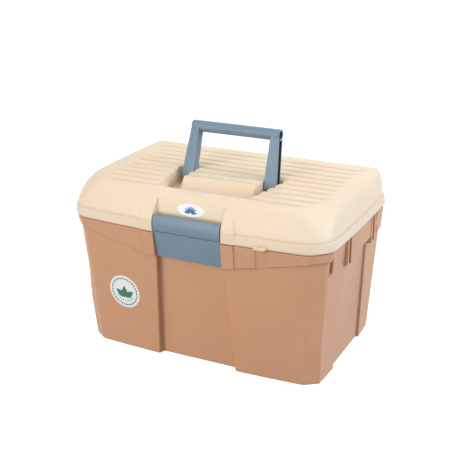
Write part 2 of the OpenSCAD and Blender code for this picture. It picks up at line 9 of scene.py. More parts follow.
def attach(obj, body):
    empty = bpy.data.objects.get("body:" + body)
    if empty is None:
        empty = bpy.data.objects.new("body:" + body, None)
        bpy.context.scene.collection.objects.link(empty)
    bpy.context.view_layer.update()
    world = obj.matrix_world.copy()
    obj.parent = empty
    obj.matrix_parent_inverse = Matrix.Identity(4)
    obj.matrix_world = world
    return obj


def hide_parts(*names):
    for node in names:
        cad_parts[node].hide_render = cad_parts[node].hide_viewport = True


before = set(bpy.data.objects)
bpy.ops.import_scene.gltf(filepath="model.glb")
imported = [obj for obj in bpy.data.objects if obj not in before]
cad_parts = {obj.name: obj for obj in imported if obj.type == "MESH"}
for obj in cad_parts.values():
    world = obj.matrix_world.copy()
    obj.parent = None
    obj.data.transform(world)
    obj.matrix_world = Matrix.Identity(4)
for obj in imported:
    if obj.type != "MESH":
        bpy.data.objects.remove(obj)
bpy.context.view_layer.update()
MM = 0.001

# Sizes in millimetres

WALL = 2.5
RIM_W, RIM_D, RIM_H = 400.0, 270.0, 12.5
RIM_BOW, SIDE_BOW, RIM_CUT, REAR_CUT = 9.0, 2.5, 23.0, 20.0
RIM_FLAT = RIM_W / 2 - SIDE_BOW - RIM_CUT
RIM_DRAFT, RIM_FOOT, RIM_EDGE, LEDGE_W = 1.3, 1.2, 0.8, 3.5
TUB_H, TONGUE_H, TUB_IN = 199.0, 5.0, 4.6
TUB_HALF = RIM_W / 2 - TUB_IN
DRAFT_SIDE, DRAFT_FRONT, DRAFT_REAR = 13.8, 19.5, 11.0
COLLAR_LOW, COLLAR_HIGH, COLLAR_OUT = 160.0, 184.5, 2.6
LID_Z, LID_TOP, LEDGE_Z, SEAT_Z = 199.3, 248.3, 213.8, 204.3
DOME_SIDE, DOME_FRONT, DOME_REAR = 13.0, 26.5, 16.5
NOTCH_HALF, NOTCH_SLOPE, FRAME_W = 51.4, 0.272, 19.5
RIB_PITCH, RIB_DEEP, RIB_N, RIB_FIRST, RIB_HALF, RIB_RUN = 19.5, 3.9, 10, -93.75, 164.0, 8.0
RECESS_Z, RECESS_FRONT, RECESS_BACK = 225.8, -85.2, 12.0
BLOCK_HALF, BLOCK_LOW_Y, BLOCK_HIGH_Y = 55.5, -50.0, -36.0
SLOT_BACK, SLOT_FRONT = 85.0, 70.0
EYE_X, EYE_R = 107.5, 2.2
HINGE_X, HINGE_Y, HINGE_Z = 110.0, 139.5, 199.3
PIVOT_Y, PIVOT_Z, HANDLE_L, HANDLE_LEAN = -1.0, 238.3, 72.8, 18.9
LATCH_PIN_Y, LATCH_PIN_Z = -126.0, 215.8
# A corner's cut shrinks by this share of the distance that its outline is moved in
CUT_SHARE = 2 - math.sqrt(2)


# Meshes

def smooth(low, high, x):
    """From 0 to 1 between two numbers, with soft ends."""
    t = np.clip((x - low) / (high - low), 0, 1)
    return t * t * (3 - 2 * t)


def mix(a, b, t):
    return a + (b - a) * t


def spaced(a, b, n):
    """n places after a, up to and including b."""
    return [mix(a, b, k / n) for k in range(1, n + 1)]


def step(value, width):
    """From 0 to 1 over a width, half way where the value is 0."""
    return smooth(-width / 2, width / 2, value)


def within(value, low, high, width):
    """1 between two edges and 0 outside them, with steps of a width."""
    return step(value - low, width) * step(high - value, width)


def put(name, data):
    """A new object in the scene."""
    obj = bpy.data.objects.new(name, data)
    bpy.context.collection.objects.link(obj)
    return obj


class Shape:
    """Points in millimetres and faces, with one number on each point."""

    def __init__(self):
        self.points, self.faces, self.share = [], [], []

    def add(self, points, faces, share=0.0):
        start = len(self.points)
        self.points.extend(map(tuple, points))
        self.faces.extend([tuple(start + i for i in face) for face in faces])
        values = np.broadcast_to(share, (len(points),))
        self.share.extend(values.tolist())
        return start

    def tube(self, rows, share=0.0):
        """Closed loops of points, one above the other, each joined to the next."""
        rows = np.asarray(rows)
        count, n = rows.shape[:2]
        faces = [(r * n + i, r * n + (i + 1) % n, (r + 1) * n + (i + 1) % n, (r + 1) * n + i)
                 for r in range(count - 1) for i in range(n)]
        return self.add(rows.reshape(-1, 3), faces, np.broadcast_to(share, (count, n)).ravel())

    def solid(self, rows):
        """A tube with a face over each end."""
        rows = np.asarray(rows)
        count, n = rows.shape[:2]
        start = self.tube(rows)
        first = range(start, start + n)
        self.faces += [tuple(first[::-1]), tuple(i + (count - 1) * n for i in first)]

    def ring(self, rows):
        """A tube whose last loop is joined to its first."""
        self.tube([*rows, rows[0]])

    def build(self, name, material, sharp=40):
        mesh = bpy.data.meshes.new(name)
        mesh.from_pydata((np.array(self.points) * MM).tolist(), [], self.faces)
        layer = mesh.attributes.new("rib_share", "FLOAT", "POINT")
        layer.data.foreach_set("value", self.share)
        work = bmesh.new()
        work.from_mesh(mesh)
        bmesh.ops.remove_doubles(work, verts=work.verts, dist=2e-6)
        bmesh.ops.recalc_face_normals(work, faces=work.faces)
        work.to_mesh(mesh)
        work.free()
        mesh.shade_smooth()
        mesh.set_sharp_from_angle(angle=math.radians(sharp))
        mesh.materials.append(material)
        return put(name, mesh)


def prism(shape, profile, x0, x1, soft):
    """A profile given as [y, z], drawn out along X, with soft edges."""
    work = bmesh.new()
    ends = [[work.verts.new((x, y, z)) for y, z in profile] for x in (x0, x1)]
    n = len(profile)
    work.faces.new(ends[0])
    work.faces.new(ends[1][::-1])
    for i in range(n):
        work.faces.new((ends[0][i], ends[1][i], ends[1][(i + 1) % n], ends[0][(i + 1) % n]))
    bmesh.ops.recalc_face_normals(work, faces=work.faces)
    edges = [e for e in work.edges if e.calc_face_angle(0) > math.radians(25)]
    bmesh.ops.bevel(work, geom=edges, offset=soft, segments=3, profile=0.5, affect="EDGES", clamp_overlap=True)
    work.verts.index_update()
    shape.add(np.array([v.co for v in work.verts]), [[v.index for v in f.verts] for f in work.faces])
    work.free()


def lathe(shape, profile, centre, turns=48):
    """A closed profile given as [x, radius], turned round a line along X through centre."""
    angle = np.linspace(0, 2 * math.pi, turns, endpoint=False)
    rows = [np.stack([np.full(turns, x), centre[0] + r * np.cos(angle), centre[1] + r * np.sin(angle)], 1)
            for x, r in profile]
    shape.ring(rows)


def rounded(points, reaches, steps=4):
    """A closed outline with each corner turned into a bend that starts and ends at its own reach."""
    out = []
    n = len(points)
    for i, r in enumerate(reaches):
        p, v, q = (np.array(points[(i + k) % n], float) for k in (-1, 0, 1))
        a = v + (p - v) / np.linalg.norm(p - v) * r
        b = v + (q - v) / np.linalg.norm(q - v) * r
        for u in np.linspace(0, 1, steps + 1):
            out.append((1 - u) ** 2 * a + 2 * u * (1 - u) * v + u * u * b)
    return np.array(out)


# Outlines of the moulded shells

SOFT, LID_SOFT = 4.5, 12.0
CORNER_N = 14


def corner(a, v, w, b, soft):
    """CORNER_N + 1 points from a round the bends at v and w to b, which are pairs of arrays."""
    length = np.hypot(w[0] - v[0], w[1] - v[1])
    reach = np.minimum(soft, 0.45 * length)
    p = [v[k] + (w[k] - v[k]) * reach / length for k in (0, 1)]
    q = [w[k] + (v[k] - w[k]) * reach / length for k in (0, 1)]
    half = CORNER_N // 2
    out = []
    for start, bend, stop, first, count in ((a, v, p, 1, half), (q, w, b, 0, CORNER_N - half - 1)):
        for i in range(first, count + 1):
            u = i / count
            out.append([(1 - u) ** 2 * start[k] + 2 * u * (1 - u) * bend[k] + u * u * stop[k] for k in (0, 1)])
    return [np.concatenate([o[k] for o in out], 1) for k in (0, 1)]


def half_ring(size, row, front_x, side_y, back_x, soft=SOFT):
    """The right half of a shell's outline, from the middle of its front to the middle of its back.

    size turns a row into half width, front, rear, both corner cuts, both bows and how far the side's front end is
    moved in. front_x, side_y and back_x give the places of the columns between the ends that follow from these."""
    hw, hf, hr, cut, cut_r, bow, bow_s, slim = size(row)
    xe = hw - bow_s
    a = xe - cut
    y0 = -hf + bow + cut - slim
    y1 = hr - cut_r
    ym, yh = (y0 + y1) / 2, (y1 - y0) / 2
    fx = front_x(row, a - soft)
    fy = -hf + bow * (fx / a) ** 2
    sy = side_y(row, y0 + soft, y1 - np.minimum(soft, cut_r))
    sx = hw - bow_s * ((sy - ym) / yh) ** 2 - slim * (y1 - sy) / (2 * yh)
    bx = back_x(row, xe - cut_r - np.minimum(soft, cut_r))
    by = hr + 0 * bx
    first, last = slice(0, 1), slice(-1, None)
    c1 = corner([fx[:, last], fy[:, last]], [a, -hf + bow], [xe - slim, y0], [sx[:, first], sy[:, first]], soft)
    c2 = corner([sx[:, last], sy[:, last]], [xe, y1], [xe - cut_r, hr], [bx[:, first], by[:, first]], soft)
    x = np.concatenate([fx, c1[0][:, :-1], sx, c2[0][:, :-1], bx], 1)
    y = np.concatenate([fy, c1[1][:, :-1], sy, c2[1][:, :-1], by], 1)
    return x, y


def from_table(sizes):
    """The size function of half_ring for rows that are numbered from 0."""
    table = np.array(sizes)
    return lambda row: tuple(table[row[:, 0], k][:, None] for k in range(table.shape[1]))


def whole(x, y, z, left=None):
    """The full loop of points from its right half and, where it differs, its left half."""
    lx, ly, lz = left or (x, y, z)
    right = np.stack([x, y, z], 2)
    other = np.stack([-lx, ly, lz], 2)[:, -2:0:-1]
    return np.concatenate([right, other], 1)


# Tub

LEVELS = np.array([0.0, 155.0, 160.0, 164.0, 166.5, 184.4, 184.6, 199.0, 206.0])
# The front's columns: over the recess's floor, at its wall (offset from its edge, and share of the way from the floor
# to the panel), up to the cheek beside the latch, over the cheek's edge, over the groove at the eye, up to the corner
FLOOR_N, CHEEK_N, END_N = 8, 4, 6
RECESS_EDGE = [(-2.4, 0), (-1.2, 0.006), (-0.5, 0.025), (-0.2, 0.06), (-0.05, 0.11), (0, 0.9), (0.1, 0.95),
               (0.3, 0.98), (0.7, 0.996), (1.6, 1)]
CHEEK_X = [68.6, 68.95, 69.25, 69.6, 70.4, 77, 84, 90.5, 96.6]
GROOVE_X = [98, 98.5, 98.9, 99.6, 101, 103, 105.2, 107.5, 109.8, 112, 114, 115.4, 116.1, 116.5, 117, 118]
FLOOR_END, CHEEK_START = 3.2, 68.1
# The side's columns: before its recess, from the recess's edges inward, between those and behind it
PILLAR_Y = [-95.2, -94.6, -94.3, -94, -93.4, -90, -86, -83, -82.4, -82, -81.6, -81, -78, -72, -66, -60, -53]
RIB_Y = [-50, -46, -43.2, -42.7, -42.3, -41.8, -39.5, -37.7, -37.2, -36.8, -36.3, -35, -33.7, -33.2, -32.8, -32.3]
EDGE_Y = [-1.0, -0.5, -0.15, 0.2, 0.6, 1.2, 2.2]
BAND_Y = [-27.8, -27.2, -26.7, -26.3, -25.8, -24, -18, -10, -2, 6, 14, 22, 30, 37, 42]
REAR_Y = [49, 50.3, 50.7, 51.3, 51.8, 53.9, 54.3, 54.7, 55.3, 58.5, 61.8, 62.3, 62.7, 63.2, 66.5, 69.8, 70.3, 70.7,
          71.2, 75.3, 75.8, 76.2, 76.8, 80]
# The ends between which those places are given, and the height below which the front ones spread out to the foot
SIDE_START, SIDE_LOW, SIDE_HIGH, SIDE_STOP, SPREAD_Z = -96.2, -30.5, 46.5, 80.0, 150.0
FRONT_HALF, FRONT_TAPER, FRONT_DEEP = 60.9, 10.0, 10.0
SIDE_MID, SIDE_HALF, SIDE_TAPER, SIDE_FULL, SIDE_TOP, SIDE_DEEP = 8.0, 53.5, 15.0, 155.0, 164.0, 4.5
SIDE_X, FLAT_IN = 150.0, 3.0
COLLAR_X, COLLAR_RUN, COLLAR_FRONT, COLLAR_REAR = 57.0, 115.0, -97.0, 76.0
CHEEK_END, CHEEK_OUT, UNDERCUT_Z = 69.2, 1.5, 197.0
# Upright ribs and the band of a side: front edge, rear edge, foot, and how far they stand out
SIDE_RIBS = [(-42.5, -37, 157.5, 0.4), (-33, -26, 157.5, 1.4), (-27.5, 51.5, 166, 1.4), (50, 54.5, 157.5, 2.8),
             (62.5, 70.5, 157.5, 2.8)]
# The pocket under the collar's front end, with its slanting top, and the bulge that it makes inside
POCKET_FRONT, POCKET_BACK, POCKET_LOW, POCKET_TOP, POCKET_SLANT, POCKET_DEEP = -94.3, -82.0, 161.3, 160.2, 0.25, 8.3
BULGE_FRONT, BULGE_BACK, BULGE_LOW, BULGE_TOP, BULGE_DEEP = -106.5, -79.0, 161.0, 187.0, 8.9
GROOVE_R, GROOVE_IN, GROOVE_OUT = 11.0, 6.5, 1.0


def tub_size(z, g, slim=0.0):
    """The tub's outline at a height, moved in by g, with the front end of its sides moved in by slim."""
    rise = z / TUB_H
    hw = TUB_HALF - DRAFT_SIDE * (1 - rise) - g
    hf = RIM_D / 2 - TUB_IN - DRAFT_FRONT * (1 - rise) - g
    hr = RIM_D / 2 - TUB_IN - DRAFT_REAR * (1 - rise) - g
    cut = mix(17.6, 21.0, rise) - CUT_SHARE * g
    cut_r = mix(14.0, 20.0, rise) - CUT_SHARE * g
    return hw, hf, hr, cut, cut_r, mix(5.7, 8.6, rise), SIDE_BOW + 0 * z, slim + 0 * z


def side_in(z):
    """How much further in the front end of a side's flat lies than the line of the collar."""
    return FLAT_IN * np.minimum(1, z / COLLAR_LOW)


def side_edges(z, grown):
    """The front and rear edges of the recess in the side."""
    half = SIDE_HALF - SIDE_TAPER * np.clip(z / SIDE_FULL, 0, 1) + grown
    return SIDE_MID - half, SIDE_MID + half


def moved(places, a, b, to_a, to_b):
    """Places between a and b, moved to lie between two other ends."""
    return [mix(to_a, to_b, (v - a) / (b - a)) for v in places]


def tub_tables(g, grown):
    """The tub's outline at its levels, moved in by g, with its recesses grown by grown."""
    def front_x(z, end):
        half = FRONT_HALF - FRONT_TAPER * np.minimum(1, z / COLLAR_LOW) + grown
        out = [(half - FLOOR_END) * k / FLOOR_N for k in range(FLOOR_N)] + [half + d for d, _ in RECESS_EDGE]
        out += spaced(half + RECESS_EDGE[-1][0], CHEEK_START, CHEEK_N) + [v + 0 * z for v in CHEEK_X + GROOVE_X]
        return np.concatenate(out + spaced(GROOVE_X[-1], end, END_N), 1)

    def side_y(z, start, stop):
        low, high = (edge + 0 * z for edge in side_edges(z, grown))
        places = PILLAR_Y + RIB_Y
        first = [np.where(z < SPREAD_Z, foot, v)
                 for foot, v in zip(moved(places, SIDE_START, SIDE_LOW, start, low), places)]
        out = [mix(start, first[0], k / 3) for k in range(3)] + first + [low + d for d in EDGE_Y]
        out += moved(BAND_Y, SIDE_LOW, SIDE_HIGH, low, high) + [high - d for d in EDGE_Y[::-1]]
        out += moved(REAR_Y, SIDE_HIGH, SIDE_STOP, high, SIDE_STOP)
        return np.concatenate(out + spaced(SIDE_STOP, stop, 4), 1)

    def back_x(z, start):
        return np.concatenate([start * (1 - k / 8) for k in range(9)], 1)

    def size(z):
        if g > 0:
            return tub_size(z, g, np.clip((TUB_H - z) / 1.5, 0, 1))
        return tub_size(z, g, side_in(z) * np.clip((COLLAR_HIGH + 0.1 - z) / 0.2, 0, 1))

    return half_ring(size, LEVELS[:, None], front_x, side_y, back_x)


def along(table, z):
    """A table over the levels, read at the heights z of its columns."""
    k = np.clip(np.searchsorted(LEVELS, z, side="right") - 1, 0, len(LEVELS) - 2)
    t = (z - LEVELS[k]) / (LEVELS[k + 1] - LEVELS[k])
    c = np.arange(table.shape[1])
    return mix(table[k, c], table[k + 1, c], t)


def collar_edge(x):
    """The collar's lower edge, which slants up from the latch to the corner."""
    return COLLAR_LOW + (COLLAR_HIGH - COLLAR_LOW) * np.clip((np.abs(x) - COLLAR_X) / COLLAR_RUN, 0, 1)


def tub_relief(x, y, z, plain, flat, hw, eye):
    """How far the outer skin stands out from its outline; plain and flat are the places of a side without and with
    its front end moved in."""
    front, rear = step(COLLAR_FRONT - y, 1.2), step(y - COLLAR_REAR, 1.2)
    over_edge = front * step(z - collar_edge(x), 1.8)
    out = COLLAR_OUT * np.maximum(over_edge, rear * step(z - COLLAR_LOW, 1.8))
    out = out + CHEEK_OUT * over_edge * step(CHEEK_END - x, 0.7) * (x < 90)
    # A narrow step back under the lid's rim
    out = out * (1 - 0.6 * step(z - UNDERCUT_Z, 0.5))
    # The flat of the side, the recess in it, and upright ribs and a band under the rim
    side = (x > SIDE_X) & (np.abs(y) < 112)
    out = np.where(side, mix(flat - x, out, np.maximum(front, rear)), out)
    low, high = side_edges(z, 0)
    in_recess = within(y, low, high, 1.6) * step(SIDE_TOP - z, 2)
    out = np.where(side, mix(out, hw - SIDE_DEEP - x, in_recess), out)
    for start, stop, foot, stand in SIDE_RIBS:
        mask = within(y, start, stop, 1.0) * step(z - foot, 1.4)
        out = np.where(side, mix(out, plain + TUB_HALF - hw + stand - x, mask), out)
    pocket = step(y - POCKET_FRONT, 0.7) * step(POCKET_BACK - y, 0.9)
    pocket = pocket * step(z - POCKET_LOW, 1.4) * step(POCKET_TOP - POCKET_SLANT * y - z, 1.4)
    out = np.where(x > SIDE_X, mix(out, np.minimum(out, hw - POCKET_DEEP - x), pocket), out)
    if eye:
        dx = np.minimum(np.abs(x - EYE_X), GROOVE_R - 0.1)
        groove = np.maximum(GROOVE_OUT, COLLAR_OUT - (np.sqrt(GROOVE_R ** 2 - dx * dx) - GROOVE_IN))
        out = np.where(y < -90, mix(out, np.minimum(out, groove), step(z - COLLAR_LOW, 1.2)), out)
    return out


FOOT_R, BRIM_R, FLOOR_T, HEEL_R = 1.2, 0.8, 3.0, 3.0
BEND_LOW, BEND_HIGH = 100.0, 196.0
WALL_Z = np.concatenate([[FOOT_R], np.arange(5, 150, 5), np.arange(150, 183, 1.15),
                         [183.3, 184.0, 184.5, 185.0, 185.7], np.arange(186.8, 195.9, 1.15),
                         [196.6, 196.85, 197.0, 197.15, 197.4, 198.2]])[:, None]
INSIDE_Z = np.array([198, 190, 180, 172, 169, 168, 167.2, 166.5, 165.8, 165, 163, 160, 140, 100, 60, 30, 12, 6.0])
BRACKET = [(125.5, 175), (142.7, 196.9), (143.5, 199.3), (142.3, 202.1), (139.5, 203.3), (136.7, 202.1),
           (135.5, 199.3), (134.5, 198), (127.9, 198)]
BRACKET_X, BRACKET_HALF = 17.9, 7.5


def make_tub(material):
    outer, grow = tub_tables(0, 0), tub_tables(-1, 0)
    inner, lean = tub_tables(WALL, WALL), tub_tables(WALL - 1, WALL)
    n = outer[0].shape[1]
    share = np.ones(n)
    share[:FLOOR_N] = 0
    share[FLOOR_N:FLOOR_N + len(RECESS_EDGE)] = [w for _, w in RECESS_EDGE]
    front_n = FLOOR_N + len(RECESS_EDGE) + CHEEK_N + len(CHEEK_X) + len(GROOVE_X) + END_N
    level = LEVELS.tolist().index
    column_x, column_y = outer[0][level(166.5)], outer[1][level(164.0)]
    front = np.arange(n) < front_n + CORNER_N
    edge = np.where(front, collar_edge(column_x), mix(COLLAR_HIGH, COLLAR_LOW, smooth(77, 88, column_y)))
    tip = np.where(front, TUB_H + TONGUE_H * step(column_x - 54.4, 1.2), TUB_H + TONGUE_H)

    def rows(tables, ways, z, inset, grown, relief, eye):
        """Points of the skin at heights z, moved in by inset."""
        x, y = along(tables[0], z), along(tables[1], z)
        dx, dy = along(ways[0], z) - x, along(ways[1], z) - y
        hw, hf, hr, cut, cut_r, bow = tub_size(z, 0)[:6]
        start, stop = -hf + bow + cut - side_in(z), hr - cut_r
        along_side = np.clip((stop - y) / (stop - start), 0, 1)
        plain = hw - SIDE_BOW * (2 * along_side - 1) ** 2
        out = relief * tub_relief(x, y, z, plain, plain - side_in(z) * along_side, hw, eye) - inset
        if grown:
            low, high = side_edges(z, grown)
            mask = within(y, low, high, 2.4) * step(SIDE_TOP + WALL - z, 2.4) * (x > SIDE_X)
            out = mix(out, hw - SIDE_DEEP - WALL - x, mask)
            mask = within(y, BULGE_FRONT, BULGE_BACK, 2.4) * within(z, BULGE_LOW, BULGE_TOP, 2.4) * (x > SIDE_X)
            out = mix(out, np.minimum(out, hw - BULGE_DEEP - x), mask)
        floor = -hf + FRONT_DEEP + grown + inset
        return x + out * dx, np.where(share < 1, mix(floor, y + out * dy, share), y + out * dy), z

    def both(tables, ways, z, inset, grown, relief):
        z = np.atleast_2d(z)
        z = np.broadcast_to(z, (len(z), n))
        right = rows(tables, ways, z, inset, grown, relief, True)
        return whole(*right, left=rows(tables, ways, z, inset, grown, relief, False))

    shape = Shape()
    turn = np.linspace(0, math.pi / 2, 5)[:, None]
    # The wall's rows follow the collar's slanting lower edge across the front
    below = BEND_LOW + (WALL_Z - BEND_LOW) * (edge - BEND_LOW) / (COLLAR_HIGH - BEND_LOW)
    above = edge + (WALL_Z - COLLAR_HIGH) * (BEND_HIGH - edge) / (BEND_HIGH - COLLAR_HIGH)
    bent = np.where(WALL_Z < COLLAR_HIGH, below, above)
    wall = np.where((WALL_Z < BEND_LOW) | (WALL_Z > BEND_HIGH), WALL_Z, bent)
    foot = both(outer, grow, FOOT_R * (1 - np.cos(turn)), FOOT_R * (1 - np.sin(turn)), 0, 1)
    brim = both(outer, grow, TUB_H - BRIM_R + BRIM_R * np.sin(turn), BRIM_R * (1 - np.cos(turn)), 0, 1)
    tongue = both(outer, grow, np.stack([0 * tip + TUB_H, tip - 0.8, tip - 0.3, tip]),
                  np.array([[0.1], [0.1], [0.4], [1.0]]), 0, 0)
    down = np.concatenate([np.stack([tip, tip - 0.3, tip - 0.8]), INSIDE_Z[:, None] + 0 * tip])
    inside = both(inner, lean, np.minimum(down, tip), np.r_[[-1.5, -0.6, -0.1], 0 * INSIDE_Z][:, None], WALL, 0)
    heel = both(inner, lean, FLOOR_T + HEEL_R * (1 - np.sin(turn[1:])), HEEL_R * (1 - np.cos(turn[1:])), WALL, 0)
    base = foot[:1] * [0.5, 0.5, 1]
    bed = heel[-1:] * [0.5, 0.5, 1]
    shape.solid(np.concatenate([base, foot, both(outer, grow, wall, 0, 0, 1), brim, tongue, inside, heel, bed]))
    # The catch behind the latch, and the outer knuckles of the hinge on their brackets
    prism(shape, [(-120.6, 176), (-113, 176), (-113, 180), (-120.6, 180)], -40, 40, 0.6)
    for x in (-HINGE_X, HINGE_X):
        for side in (-1, 1):
            middle = x + side * BRACKET_X
            prism(shape, BRACKET, middle - BRACKET_HALF, middle + BRACKET_HALF, 0.8)
    return shape.build("tub_shell", material)


# Lid

# A recess wall's lines: distance into the recess, and share of the depth reached there
WALL_LINE = [(-1.6, 0), (-0.8, 0.01), (-0.3, 0.045), (-0.05, 0.12), (0.15, 0.82), (0.35, 0.91), (0.7, 0.955),
             (1.4, 0.985), (2.8, 1)]
LINE_OUT, LINE_IN = -WALL_LINE[0][0], WALL_LINE[-1][0]
NOTCH_LINE = [(-2.4, 0), (-1.2, 0.03), (-0.6, 0.09), (-0.25, 0.2), (0, 0.8), (0.2, 0.9), (0.55, 0.96), (1.1, 0.99),
              (2, 1)]
FRAME_X = [69.4, 70.2, 70.6, 70.9, 71.2, 71.6, 72.4, 77]
BLOCK_END, LAST_U = BLOCK_HALF + 1.8, 99.0
FRONT_U = ([6.0 * i for i in range(8)] + [NOTCH_HALF + d for d, _ in NOTCH_LINE]
           + [BLOCK_HALF + d for d in (-1.3, -0.8, -0.45, -0.2, 0, 0.2, 0.45, 0.9, 1.8)] + [61, 65.5] + FRAME_X
           + [SLOT_BACK - d for d, _ in WALL_LINE[::-1]] + [92, LAST_U])
EDGE_FRONT, EDGE_BACK = -56.0, 107.0
DOME_CUT, DOME_ROUND, REAR_SHARPER = 19.5, 16.0, 16.0
# The notch's wall: by the latch's pin, and above it; and how far its frames stand out and lean in
NOTCH_LOW_Y, NOTCH_LOW_SLOPE, NOTCH_Y, NOTCH_MID_Z, NOTCH_BEND = -120.4, 0.13, -117.0, 231.5, 2.5
FRAME_OUT, FRAME_LEAN = 4.2, 4.5
# The rows of the top bend towards the outline in front of the first of these, at the side, and behind the second
SIDE_PIVOT, REAR_PIVOT = -30.0, 14.0


def top_rows():
    """The places along Y of the rows of the lid's top: close at the recess's walls and in the ribs' valleys."""
    key = [RECESS_FRONT + d for d, _ in WALL_LINE] + [RECESS_BACK - d for d, _ in WALL_LINE]
    key += [y + d for y in (BLOCK_LOW_Y, BLOCK_HIGH_Y) for d in (-1.6, -0.8, 0, 0.8, 1.6)]
    key += [-105, -102.5, -100, -97.8, -95.7, 103.4, 106, 109, 112, 115]
    valley = [RIB_FIRST + RIB_PITCH * (i + 0.5) for i in range(RIB_N)]
    ribs = valley + [y + d * k for y in valley for d in (0.3, 0.7, 1.2, 1.9, 2.8, 4.0, 5.6, 7.6) for k in (-1, 1)]
    return np.array(sorted(key + [y for y in ribs if min(abs(y - k) for k in key) > 0.25]))


ROW_V = top_rows()


def bent_rows(v, front, back, pivot):
    """Rows moved so that the first and last meet the outline."""
    low = pivot + (v - pivot) * (front - pivot) / (ROW_V[0] - pivot)
    high = REAR_PIVOT + (v - REAR_PIVOT) * (back - REAR_PIVOT) / (ROW_V[-1] - REAR_PIVOT)
    return np.where(v < pivot, low, np.where(v > REAR_PIVOT, high, v))


SIDE_SHARE = (bent_rows(ROW_V, EDGE_FRONT, EDGE_BACK, SIDE_PIVOT) - EDGE_FRONT) / (EDGE_BACK - EDGE_FRONT)


def dome_inset(t, straight):
    """Share of the dome's inset at a share of its height: part straight slope, part quarter ellipse."""
    return straight * t + (1 - straight) * (1 - np.sqrt(1 - t * t))


def rim_size(g, cut_share=CUT_SHARE):
    return (RIM_W / 2 - g, RIM_D / 2 - g, RIM_D / 2 - g, RIM_CUT - cut_share * g, REAR_CUT - CUT_SHARE * g, RIM_BOW,
            SIDE_BOW, 0.0)


def dome_size(t, g):
    front, edge = dome_inset(t, 0.5), LEDGE_W + g
    return (RIM_W / 2 - edge - DOME_SIDE * dome_inset(t, 0.3), RIM_D / 2 - edge - DOME_FRONT * front,
            RIM_D / 2 - edge - DOME_REAR * front, DOME_CUT + DOME_ROUND * dome_inset(t, 0) - CUT_SHARE * g,
            REAR_CUT - REAR_SHARPER * t - CUT_SHARE * g * (1 - t), RIM_BOW, SIDE_BOW, 0.0)


def rim_front(x):
    """The rim's front, which bows back towards the corners."""
    return -RIM_D / 2 + RIM_BOW * (x / RIM_FLAT) ** 2


def dome_share(z):
    return np.clip((z - LEDGE_Z) / (LID_TOP - LEDGE_Z), 0, 1)


def notch_y(z):
    """The wall behind the latch: further back by its pin, where the latch's top turns, and leaning back above it."""
    low = NOTCH_LOW_Y + NOTCH_LOW_SLOPE * (z - LID_Z)
    return mix(low, NOTCH_Y + NOTCH_SLOPE * (z - NOTCH_MID_Z), smooth(218.5, 223, z))


def frame_y(x, z):
    """The face of the frames beside the notch, flush with the rim below and with the dome above."""
    out = np.clip((x - NOTCH_HALF) / FRAME_W, 0, 1)
    t = dome_share(z)
    back = LEDGE_W + DOME_FRONT * dome_inset(t, 0.5)
    return rim_front(x) + np.maximum(0, back - FRAME_OUT * (1 - smooth(0.2, mix(0.95, 0.52, out), t)))


def frame_lean(z):
    """How far the outer edge of a frame leans in towards the notch."""
    t = dome_share(z)
    return FRAME_LEAN * np.minimum(1, t / 0.4) * (1 - smooth(0.75, 1, t))


def slot_edge(y):
    """Half the recess's width, which narrows to the front; before the recess it returns to its widest."""
    side = mix(SLOT_BACK, SLOT_FRONT, np.clip((RECESS_BACK - y) / (RECESS_BACK - RECESS_FRONT), 0, 1))
    start = RECESS_FRONT - 2
    return np.where(y < start, mix(SLOT_FRONT, SLOT_BACK, smooth(start, -101, y)), side)


def recess_share(x, y, g):
    """Share of the handle recess's depth, with the recess grown by g."""
    lines, depth = np.array(WALL_LINE).T
    inside = np.minimum(np.minimum(y - RECESS_FRONT, RECESS_BACK - y), slot_edge(y) - np.abs(x)) + g
    block = 1 - np.interp(np.abs(x) - BLOCK_HALF + g, lines, depth)
    slope = np.mean([np.clip((y - BLOCK_LOW_Y - g + d) / (BLOCK_HIGH_Y - BLOCK_LOW_Y), 0, 1)
                     for d in (-1.2, -0.6, 0, 0.6, 1.2)], 0)
    return np.interp(inside, lines, depth) * (1 - block * slope)


# What the ribs' ends keep clear of at the front corners: the sum of x and -y along the corner's edge
CORNER_LINE = 241.5


